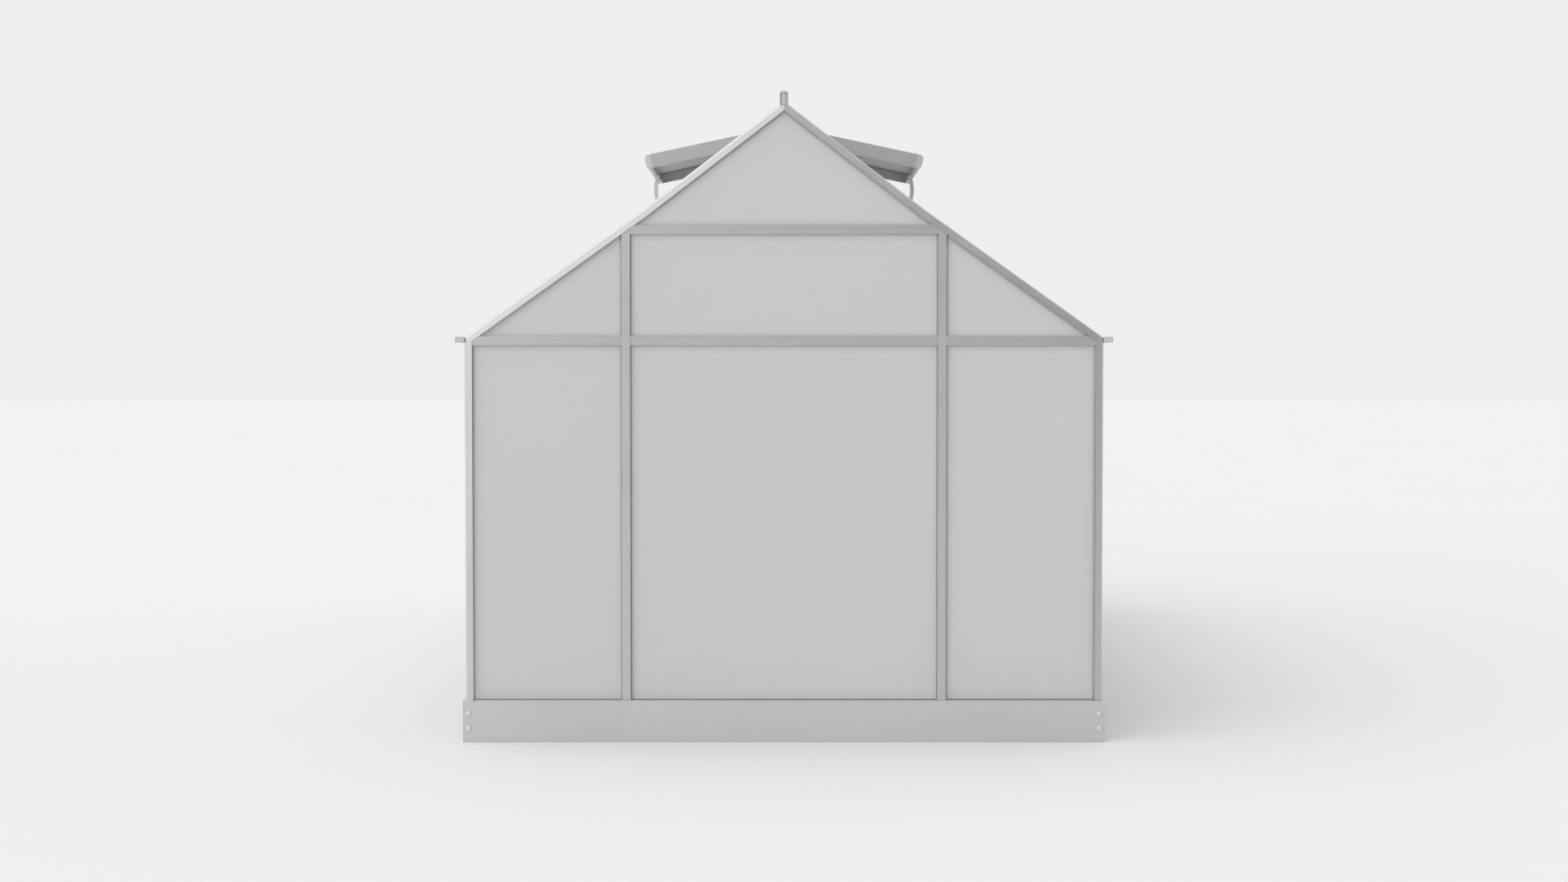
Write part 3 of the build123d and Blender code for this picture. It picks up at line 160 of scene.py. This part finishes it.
def drawn_aluminium(name, light, dark, grain):
    """Satin extruded aluminium: fine die lines run where grain is small, over slow clouding."""
    material, shade, principled = new_finish(name)
    lines = noise(shade, place(shade, grain), 1.0, 3.0, 0.6)
    clouds = noise(shade, place(shade), 3.2, 3.0, 0.55)
    speckle = noise(shade, place(shade), 420.0, 2.0, 0.6)
    share = lines * 0.55 + clouds * 0.45
    feed(shade, principled,
         Base_Color=blend_colours(shade, share, dark, light),
         Roughness=aluminium_rough + lines * 0.10 + clouds * 0.08,
         Metallic=aluminium_metal,
         Normal=relief(shade, lines * 0.7 + speckle * 0.3, 0.10, 0.0004))
    return material


def coated_steel(name, light, dark):
    """Folded steel with a satin pale grey coat: orange peel, clouding, and a darker, warmer, rougher band
    near the floor.
    """
    material, shade, principled = new_finish(name)
    clouds = noise(shade, place(shade, (1, 1, 2.5)), 2.1, 4.0, 0.55)
    peel = noise(shade, place(shade), 160.0, 2.0, 0.5)
    height = shade.node("ShaderNodeSeparateXYZ", None, {0: place(shade)}, output="Z")
    # Darker, warmer and rougher towards the floor, over the bottom few centimetres of the base.
    foot_band = shade.node("ShaderNodeMapRange", {"clamp": True},
                      {"Value": height + clouds * 0.02, "From Min": foot_band_low, "From Max": foot_band_high,
                       "To Min": 1.0, "To Max": 0.0})
    coat = blend_colours(shade, clouds, dark, light)
    banded_coat = shade.node("ShaderNodeMix", {"data_type": "RGBA"},
                       {"Factor": foot_band * foot_band_share, "A": coat, "B": foot_band_colour}, output="Result")
    feed(shade, principled,
         Base_Color=banded_coat,
         Roughness=0.36 + clouds * 0.10 + foot_band * 0.15,
         Metallic=0.35,
         Normal=relief(shade, peel, 0.12, 0.0004))
    return material


def milky_panel(name, flutes, light, dark, through=plain_through):
    """Milky twin-wall sheet: faint flutes across one direction, slow clouding, light let through."""
    material, shade, principled = new_finish(name)
    tree = shade.tree
    bands = {"wave_type": "BANDS", "bands_direction": "X", "wave_profile": "SIN"}
    waves = shade.node("ShaderNodeTexWave", bands,
                       {"Vector": place(shade, flutes), "Scale": 1.0, "Distortion": 0.0})
    clouds = noise(shade, place(shade), 0.9, 3.0, 0.5)
    grain = noise(shade, place(shade), 60.0, 2.0, 0.5)
    colour = blend_colours(shade, clouds * 0.8 + waves * 0.2, dark, light)
    feed(shade, principled,
         Base_Color=colour,
         Roughness=0.30 + grain * 0.08,
         Normal=relief(shade, waves * 0.6 + grain * 0.4, 0.06, 0.0006))
    behind = tree.nodes.new("ShaderNodeBsdfTranslucent")
    tree.links.new(colour.socket, behind.inputs["Color"])
    both = tree.nodes.new("ShaderNodeMixShader")
    both.inputs[0].default_value = through
    tree.links.new(principled.outputs[0], both.inputs[1])
    tree.links.new(behind.outputs[0], both.inputs[2])
    tree.links.new(both.outputs[0], tree.nodes["Material Output"].inputs["Surface"])
    return material


def zinc_plate(name, light, dark):
    """Bright zinc on screws, pins and stays."""
    material, shade, principled = new_finish(name)
    spangle = shade.node("ShaderNodeTexVoronoi", None, {"Vector": place(shade), "Scale": 240.0})
    wear = noise(shade, place(shade), 55.0, 3.0, 0.6)
    feed(shade, principled,
         Base_Color=blend_colours(shade, wear * 0.7 + spangle * 0.3, dark, light),
         Roughness=0.24 + wear * 0.16,
         Metallic=0.8,
         Normal=relief(shade, wear, 0.08, 0.0003))
    return material


def moulded_plastic(name, light, dark, rough=0.52):
    """Moulded plastic or rubber with a fine grain."""
    material, shade, principled = new_finish(name)
    grain = noise(shade, place(shade), 900.0, 2.0, 0.6)
    clouds = noise(shade, place(shade), 14.0, 2.0, 0.5)
    feed(shade, principled,
         Base_Color=blend_colours(shade, clouds * 0.7 + grain * 0.3, dark, light),
         Roughness=rough - 0.06 + grain * 0.12,
         Normal=relief(shade, grain, 0.18, 0.0002))
    return material


# ---- finishes ------------------------------------------------------------------------------------
def grey(level, tint=0.0):
    """Linear colour of a pale grey; a positive tint is cooler."""
    return (level * (1 - tint), level, level * (1 + 1.6 * tint))


def milky(level):
    """Linear colour of a faintly warm white."""
    return (level * 1.01, level, level * 0.98)


upright_metal = drawn_aluminium("aluminium_uprights", grey(0.62, 0.01), grey(0.50, 0.01), (260, 260, 1.2))
level_metal = drawn_aluminium("aluminium_cross_bars", grey(0.60, 0.01), grey(0.48, 0.01), (1.2, 260, 260))
long_metal = drawn_aluminium("aluminium_long_runs", grey(0.62, 0.01), grey(0.50, 0.01), (260, 1.2, 260))
roof_metal = drawn_aluminium("aluminium_roof_bars", grey(0.62, 0.01), grey(0.50, 0.01), (9, 260, 9))
vent_metal = drawn_aluminium("aluminium_vents", grey(0.58, 0.01), grey(0.46, 0.01), (30, 180, 180))
base_coat = coated_steel("base_steel_coat", grey(0.60, 0.015), grey(0.52, 0.015))
gable_panel = milky_panel("panes_gable", (500, 0, 0), milky(0.75), milky(0.71))
wall_panel = milky_panel("panes_wall", (0, 500, 0), milky(0.75), milky(0.71))
vent_panel = milky_panel("panes_vents", (0, 500, 0), milky(0.76), milky(0.72), vent_through)
# Painted highlight: the same aluminium as the other bars, made lighter so the rounded vent noses look lit.
nose_metal_painted_highlight = drawn_aluminium("aluminium_vent_noses_painted_highlight", grey(0.70, 0.01), grey(0.60, 0.01), (260, 1.2, 260))
zinc = zinc_plate("zinc_fixings", grey(0.80), grey(0.62))
plastic = moulded_plastic("grey_plastic", grey(0.16, 0.01), grey(0.12, 0.01))
cap_grey = moulded_plastic("pale_grey_caps", grey(0.56, 0.005), grey(0.48, 0.005), 0.40)
rubber = moulded_plastic("dark_rubber", grey(0.07), grey(0.045), 0.62)
gasket = moulded_plastic("pane_gaskets", grey(0.30), grey(0.22), 0.55)
bristle = moulded_plastic("brush_bristles", grey(0.10), grey(0.05), 0.75)

finish_of = {
    "base_plate_rear": base_coat, "base_plate_front": base_coat, "base_side_plates": base_coat,
    "base_corner_brackets": base_coat, "base_bolts": zinc, "base_nuts": zinc,
    "corner_posts": upright_metal, "gable_rafters": roof_metal, "gable_upright_bars": upright_metal,
    "gable_lower_bars": level_metal, "gable_upper_bars": level_metal, "glazing_sills": long_metal,
    "wall_bars": upright_metal, "eave_beams": long_metal, "right_gutter": long_metal,
    "left_gutter": long_metal, "end_caps": cap_grey, "ridge_beam": long_metal,
    "roof_bars": roof_metal, "knee_joiners": long_metal, "rear_gable_panes": gable_panel,
    "front_gable_panes": gable_panel, "wall_panes": wall_panel, "lower_roof_panes": wall_panel,
    "upper_roof_panes": wall_panel, "vent_sills": long_metal, "stay_guides": zinc,
    "stay_clamp_knobs": plastic, "vent_hinge_lugs": long_metal, "vent_hinge_rods": zinc,
    "jamb_hinge_plates": zinc, "door_hinge_pins": zinc, "door_latch": plastic,
    "left_door_bolt": zinc, "left_door_bolt_guides": zinc, "door_threshold": level_metal,
}
for side in ("right", "left"):
    finish_of.update({
        f"{side}_vent_top_rail": long_metal, f"{side}_vent_side_rails": vent_metal,
        f"{side}_vent_nose_rail": nose_metal_painted_highlight, f"{side}_vent_panel": vent_panel,
        f"{side}_vent_stay_bracket": zinc, f"{side}_vent_stay_pin": zinc, f"{side}_vent_stay": zinc,
        f"{side}_door_stiles": upright_metal, f"{side}_door_rails": level_metal,
        f"{side}_door_panels": gable_panel, f"{side}_door_handle": plastic,
        f"{side}_door_hinge_plates": zinc,
    })
for name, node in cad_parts.items():
    node.data.materials.clear()
    node.data.materials.append(finish_of[name])


# ---- small fittings ------------------------------------------------------------------------------
def piece(name, form, finish, body, smooth=False):
    """Makes one fitting of a finished bmesh and hangs it on its body."""
    bmesh.ops.recalc_face_normals(form, faces=form.faces)
    mesh = bpy.data.meshes.new(name)
    form.to_mesh(mesh)
    form.free()
    mesh.polygons.foreach_set("use_smooth", [smooth] * len(mesh.polygons))
    mesh.materials.append(finish)
    made = bpy.data.objects.new(name, mesh)
    bpy.context.scene.collection.objects.link(made)
    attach(made, body)
    return made


def facing(centre, outward):
    """Matrix that stands something made along +Z on a point, looking outwards."""
    return Matrix.Translation(centre) @ Vector(outward).to_track_quat("Z", "Y").to_matrix().to_4x4()


def add_screw(form, centre, outward, radius=3.1 * mm, height=1.5 * mm):
    """Pan-head screw with a shallow round recess."""
    stand = facing(centre, outward)
    head = bmesh.ops.create_cone(form, cap_ends=True, segments=24, radius1=radius, radius2=radius * 0.80,
                                 depth=height, matrix=stand @ Matrix.Translation((0, 0, height / 2)))["verts"]
    axis = Vector(outward).normalized()
    tip = max(axis.dot(vert.co - centre) for vert in head)
    rim = [edge for edge in {edge for vert in head for edge in vert.link_edges}
           if all(axis.dot(vert.co - centre) > tip - 1e-6 for vert in edge.verts)]
    rounded = bmesh.ops.bevel(form, geom=rim, offset=height * 0.45, offset_type="OFFSET", segments=3,
                              affect="EDGES", profile=0.5, material=-1)
    crown = max(rounded["faces"] + [face for vert in rounded["verts"] for face in vert.link_faces],
                key=lambda face: len(face.verts))
    bmesh.ops.inset_individual(form, faces=[crown], thickness=radius * 0.22, depth=0)
    bmesh.ops.translate(form, verts=crown.verts, vec=-axis * height * 0.5)


def add_bar(form, low, high, rounding=0.0):
    """Straight bar between two corners, with rounded edges."""
    low, high = Vector(low), Vector(high)
    made = bmesh.ops.create_cube(form, size=1.0, matrix=Matrix.Translation((low + high) / 2)
                                 @ Matrix.Diagonal((*(high - low), 1)))["verts"]
    if rounding:
        edges = list({edge for vert in made for edge in vert.link_edges})
        bmesh.ops.bevel(form, geom=edges, offset=rounding, offset_type="OFFSET", segments=2,
                        affect="EDGES", profile=0.5, material=-1)


leaf_low_corner, leaf_high_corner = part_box("right_door_stiles")
plate_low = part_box("right_door_hinge_plates")[0]
jamb_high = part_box("jamb_hinge_plates")[1]
threshold_low, threshold_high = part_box("door_threshold")
leaf_face = leaf_high_corner.y
plate_sheet = 1.5 * mm
plate_face = leaf_face + plate_sheet
hinge_inset = 150 * mm
hinge_length = 60 * mm
stile_width = 30 * mm
hinge_starts = (leaf_low_corner.z + hinge_inset, leaf_high_corner.z - hinge_inset - hinge_length)
middle_rail = 775 * mm
rail_middles = (leaf_low_corner.z + stile_width, middle_rail, leaf_high_corner.z - stile_width / 2)
doors = (("right", 1), ("left", -1))
upright_middle = 473.5 * mm
upright_half = 13 * mm
screw_inset = 5.5 * mm
screw_lifts = (6 * mm, 22 * mm)
leaf_plate_lift = 32 * mm      # from the foot of a jamb plate to the foot of its leaf plate


def hinge_screws():
    """Two screws in every hinge plate, on the leaves and on the jambs."""
    jamb = bmesh.new()
    for side, sign in doors:
        leaf = bmesh.new()
        for start in hinge_starts:
            for lift in screw_lifts:
                jamb_x, leaf_x = jamb_high.x - screw_inset, plate_low.x + screw_inset
                add_screw(jamb, Vector((sign * jamb_x, plate_face, start + lift)), (0, 1, 0))
                leaf_z = start + leaf_plate_lift + lift
                add_screw(leaf, Vector((sign * leaf_x, plate_face, leaf_z)), (0, 1, 0))
        piece(f"{side}_leaf_hinge_screws", leaf, zinc, f"{side}_door")
    piece("jamb_hinge_screws", jamb, zinc, "house")


def door_corner_screws():
    """Screws through each stile into the rails."""
    inner_x, outer_x = leaf_low_corner.x + stile_width / 2, leaf_high_corner.x - stile_width / 2
    for side, sign in doors:
        screws = bmesh.new()
        for z in rail_middles:
            for x in (inner_x, outer_x):
                add_screw(screws, Vector((sign * x, leaf_face, z)), (0, 1, 0))
        piece(f"{side}_leaf_corner_screws", screws, zinc, f"{side}_door")


def threshold_screws():
    """A row of screws along the top of the threshold's inner edge."""
    screws = bmesh.new()
    count = 5
    reach = threshold_high.x - 60 * mm
    for turn in range(count):
        x = -reach + 2 * reach * turn / (count - 1)
        add_screw(screws, Vector((x, threshold_low.y, base_top + 6 * mm)), (0, -1, 0), 2.6 * mm, 1.2 * mm)
    piece("threshold_screws", screws, zinc, "house")


def door_brushes():
    """Brush along the foot of each leaf: a folded carrier and a close row of tapered tufts."""
    carrier_high, tuft_length, tuft_pitch = 12 * mm, 9 * mm, 4 * mm
    foot = leaf_low_corner.z
    for side, sign in doors:
        near, far = sorted((sign * (leaf_low_corner.x + 2 * mm), sign * (leaf_high_corner.x - 20 * mm)))
        carrier = bmesh.new()
        add_bar(carrier, (near, leaf_face, foot), (far, leaf_face + 3 * mm, foot + carrier_high), 0.8 * mm)
        piece(f"{side}_brush_carrier", carrier, level_metal, f"{side}_door")
        tufts = bmesh.new()
        count = int((far - near - 4 * mm) / tuft_pitch)
        for turn in range(count):
            x = near + 4 * mm + turn * tuft_pitch
            middle = (x, leaf_face + 1.6 * mm, foot - tuft_length / 2)
            bmesh.ops.create_cone(tufts, cap_ends=True, segments=7, radius1=0.8 * mm, radius2=1.5 * mm,
                                  depth=tuft_length, matrix=Matrix.Translation(middle))
        piece(f"{side}_brush_tufts", tufts, bristle, f"{side}_door")


def glazing_gaskets():
    """Thin strips along the upright bars: both sides in the plain gable, the outer side at the doors."""
    strip, proud = 3 * mm, 1.5 * mm
    bars_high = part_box("gable_upright_bars")[1]
    lower_low, lower_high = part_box("gable_lower_bars")
    upper_low, upper_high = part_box("gable_upper_bars")
    inner, outer = upright_middle - upright_half, upright_middle + upright_half
    roof_fall = 0.72           # drop of the roof for each unit outwards
    gables = ((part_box("rear_gable_panes")[0].y, -1, True), (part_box("front_gable_panes")[1].y, 1, False))
    for pane_face, outward, both in gables:
        form = bmesh.new()
        for side in (-1, 1):
            for edge, away in ((inner, -1), (outer, 1)):
                if away < 0 and not both:
                    continue
                near, far = sorted((side * edge, side * (edge + away * strip)))
                top = bars_high.z - roof_fall * (edge + strip - inner)
                spans = ((base_top, lower_low.z), (lower_high.z, upper_low.z), (upper_high.z, top))
                for low, high in spans:
                    add_bar(form, (near, min(pane_face, pane_face + outward * proud), low),
                            (far, max(pane_face, pane_face + outward * proud), high))
        end = "rear" if outward < 0 else "front"
        piece(f"{end}_glazing_gaskets", form, gasket, "house")


def meeting_seal():
    """Half-round rubber bead along the meeting edge of the +X leaf."""
    bead = bmesh.new()
    radius = 1.5 * mm
    length = leaf_high_corner.z - leaf_low_corner.z - 10 * mm
    middle = (leaf_high_corner.z + leaf_low_corner.z) / 2
    bmesh.ops.create_cone(bead, cap_ends=True, segments=20, radius1=radius, radius2=radius, depth=length,
                          matrix=Matrix.Translation((leaf_low_corner.x, leaf_face - 5 * mm, middle)))
    bmesh.ops.bisect_plane(bead, geom=bead.verts[:] + bead.edges[:] + bead.faces[:],
                           plane_co=(leaf_low_corner.x, 0, 0), plane_no=(1, 0, 0), clear_outer=True)
    bmesh.ops.holes_fill(bead, edges=bead.edges)
    piece("meeting_seal", bead, rubber, "right_door")


def grip_handles():
    """Pull handles: one bent bar with round feet, in place of each plain grip."""
    for side, sign in doors:
        low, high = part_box(f"{side}_door_handle")
        x = (low.x + high.x) / 2
        radius = (high.x - low.x) / 2
        grip_y = high.y - radius
        inset, corner = 12 * mm, 9 * mm
        foot_low, foot_high = low.z + inset, high.z - inset
        route = [(leaf_face, foot_low), (grip_y - corner, foot_low), (grip_y, foot_low),
                 (grip_y, foot_low + corner), (grip_y, foot_high - corner), (grip_y, foot_high),
                 (grip_y - corner, foot_high), (leaf_face, foot_high)]
        line = bpy.data.curves.new(f"{side}_grip_line", "CURVE")
        line.dimensions = "3D"
        spline = line.splines.new("NURBS")
        spline.points.add(len(route) - 1)
        for knot, (y, z) in zip(spline.points, route):
            knot.co = (x, y, z, 1)
        spline.order_u = 3
        spline.use_endpoint_u = True
        line.bevel_depth = radius * 0.9
        line.bevel_resolution = 6
        line.resolution_u = 10
        line.use_fill_caps = True
        holder = bpy.data.objects.new(f"{side}_grip_line", line)
        bpy.context.scene.collection.objects.link(holder)
        bpy.context.view_layer.update()
        mesh = bpy.data.meshes.new_from_object(holder.evaluated_get(bpy.context.evaluated_depsgraph_get()))
        form = bmesh.new()
        form.from_mesh(mesh)
        bpy.data.objects.remove(holder)
        bpy.data.meshes.remove(mesh)
        for z in (foot_low, foot_high):
            collar = bmesh.ops.create_cone(form, cap_ends=True, segments=32, radius1=radius * 1.8,
                                           radius2=radius * 1.5, depth=2 * mm,
                                           matrix=facing((x, leaf_face + 1 * mm, z), (0, 1, 0)))["verts"]
            edges = list({edge for vert in collar for edge in vert.link_edges if len(edge.link_faces) == 2
                          and max(len(face.verts) for face in edge.link_faces) > 8})
            bmesh.ops.bevel(form, geom=edges, offset=0.4 * mm, offset_type="OFFSET", segments=2,
                            affect="EDGES", profile=0.5, material=-1)
        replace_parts(piece(f"{side}_pull_handle", form, plastic, f"{side}_door", smooth=True),
                    f"{side}_door_handle")


def fluted_knob(form, centre, outward, radius, length, lobes):
    """Round knob with scallops round its rim, a domed face and a shallow dish."""
    stand = facing(centre, outward)
    verts = bmesh.ops.create_cone(form, cap_ends=True, segments=lobes * 8, radius1=radius, radius2=radius,
                                  depth=length, matrix=Matrix.Translation((0, 0, length / 2)))["verts"]
    for vert in verts:
        turn = atan2(vert.co.y, vert.co.x)
        squeeze = 1 - 0.06 * (1 - cos(turn * lobes)) / 2
        vert.co.x *= squeeze
        vert.co.y *= squeeze
    rims = list({edge for vert in verts for edge in vert.link_edges
                 if abs(edge.verts[0].co.z - edge.verts[1].co.z) < 1e-7})
    bmesh.ops.bevel(form, geom=rims, offset=length * 0.14, offset_type="OFFSET", segments=3,
                    affect="EDGES", profile=0.5, material=-1)
    mine = [vert for vert in form.verts if abs(vert.co.x) < 2 * radius and abs(vert.co.z) < 2 * length
            and abs(vert.co.y) < 2 * radius]
    face = max({face for vert in mine for face in vert.link_faces if face.normal.z > 0.9},
               key=lambda face: len(face.verts))
    bmesh.ops.inset_individual(form, faces=[face], thickness=radius * 0.3, depth=0)
    bmesh.ops.translate(form, verts=face.verts, vec=(0, 0, -length * 0.12))
    bmesh.ops.transform(form, matrix=stand, verts=mine + list(face.verts))


def stay_knobs():
    """Thumb knobs on the stay guides, in place of the plain ones."""
    low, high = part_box("stay_clamp_knobs")
    form = bmesh.new()
    stub, stub_radius, radius = 2 * mm, 2.5 * mm, (high.z - low.z) / 2
    for sign in (1, -1):
        centre = Vector((sign * (high.x - radius), low.y, (low.z + high.z) / 2))
        fluted_knob(form, centre + Vector((0, stub, 0)), (0, 1, 0), radius, high.y - low.y - stub, 7)
        bmesh.ops.create_cone(form, cap_ends=True, segments=20, radius1=stub_radius, radius2=stub_radius,
                              depth=stub, matrix=facing(centre + Vector((0, stub / 2, 0)), (0, 1, 0)))
    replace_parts(piece("thumb_knobs", form, plastic, "house"), "stay_clamp_knobs")


hinge_screws()
door_corner_screws()
threshold_screws()
door_brushes()
glazing_gaskets()
meeting_seal()
grip_handles()
stay_knobs()


# ---- studio --------------------------------------------------------------------------------------
def studio_floor():
    """Wide pale floor."""
    mesh = bpy.data.meshes.new("studio_floor")
    form = bmesh.new()
    bmesh.ops.create_circle(form, cap_ends=True, segments=96, radius=floor_radius)
    form.to_mesh(mesh)
    form.free()
    floor = bpy.data.objects.new("studio_floor", mesh)
    floor.location.z = -floor_drop
    bpy.context.scene.collection.objects.link(floor)
    material, shade, principled = new_finish("studio_floor")
    clouds = noise(shade, place(shade), 0.5, 2.0, 0.5)
    feed(shade, principled, Base_Color=blend_colours(shade, clouds, grey(0.715), grey(0.725)), Roughness=0.9)
    principled.inputs["Specular IOR Level"].default_value = 0.1
    mesh.materials.append(material)


def studio_light():
    """An even pale room, and one large soft key from the upper left."""
    world = bpy.data.worlds.new("studio_room")
    bpy.context.scene.world = world
    world.use_nodes = True
    tree = world.node_tree
    shade = Shade(tree)
    background = tree.nodes["Background"]
    background.inputs["Strength"].default_value = 1.0
    heading = shade.node("ShaderNodeTexCoord", output="Generated")
    side = shade.node("ShaderNodeSeparateXYZ", None, {0: heading}, output="X")
    front = shade.node("ShaderNodeSeparateXYZ", None, {0: heading}, output="Y")
    up = shade.node("ShaderNodeSeparateXYZ", None, {0: heading}, output="Z")
    behind = shade.node("ShaderNodeMapRange", {"interpolation_type": "SMOOTHSTEP"},
                        {"Value": front, "From Min": -0.10, "From Max": -0.70, "To Min": 0.0, "To Max": 1.0})
    leftward = shade.node("ShaderNodeMapRange", {"interpolation_type": "SMOOTHSTEP"},
                          {"Value": side, "From Min": 0.12, "From Max": -0.55, "To Min": 0.0, "To Max": 1.0})
    level = 0.79 + up * 0.22 + behind * (leftward * 0.84 + up * 0.10 - 0.56)
    light = shade.node("ShaderNodeCombineColor", None, {0: level, 1: level, 2: level})
    seen = shade.node("ShaderNodeLightPath", output="Is Camera Ray")
    colour = shade.node("ShaderNodeMix", {"data_type": "RGBA"},
                        {"Factor": seen, "A": light, "B": seen_background}, output="Result")
    tree.links.new(colour.socket, background.inputs["Color"])
    lamp = bpy.data.lights.new("soft_key", "SUN")
    lamp.energy = key_energy
    lamp.angle = radians(key_spread)
    key = bpy.data.objects.new("soft_key", lamp)
    key.rotation_euler = Vector(key_direction).to_track_quat("-Z", "Y").to_euler()
    bpy.context.scene.collection.objects.link(key)


def studio_camera():
    """Square to the plain gable, a little above half height."""
    data = bpy.data.cameras.new("camera")
    data.lens = lens
    data.sensor_width = sensor
    data.clip_end = view_limit
    camera = bpy.data.objects.new("camera", data)
    camera.location = (0, gable_face - camera_distance, camera_height)
    camera.rotation_euler = (radians(90 - camera_tilt), 0, 0)
    bpy.context.scene.collection.objects.link(camera)
    bpy.context.scene.camera = camera


studio_floor()
studio_light()
studio_camera()
bpy.context.scene.view_settings.view_transform = "Standard"
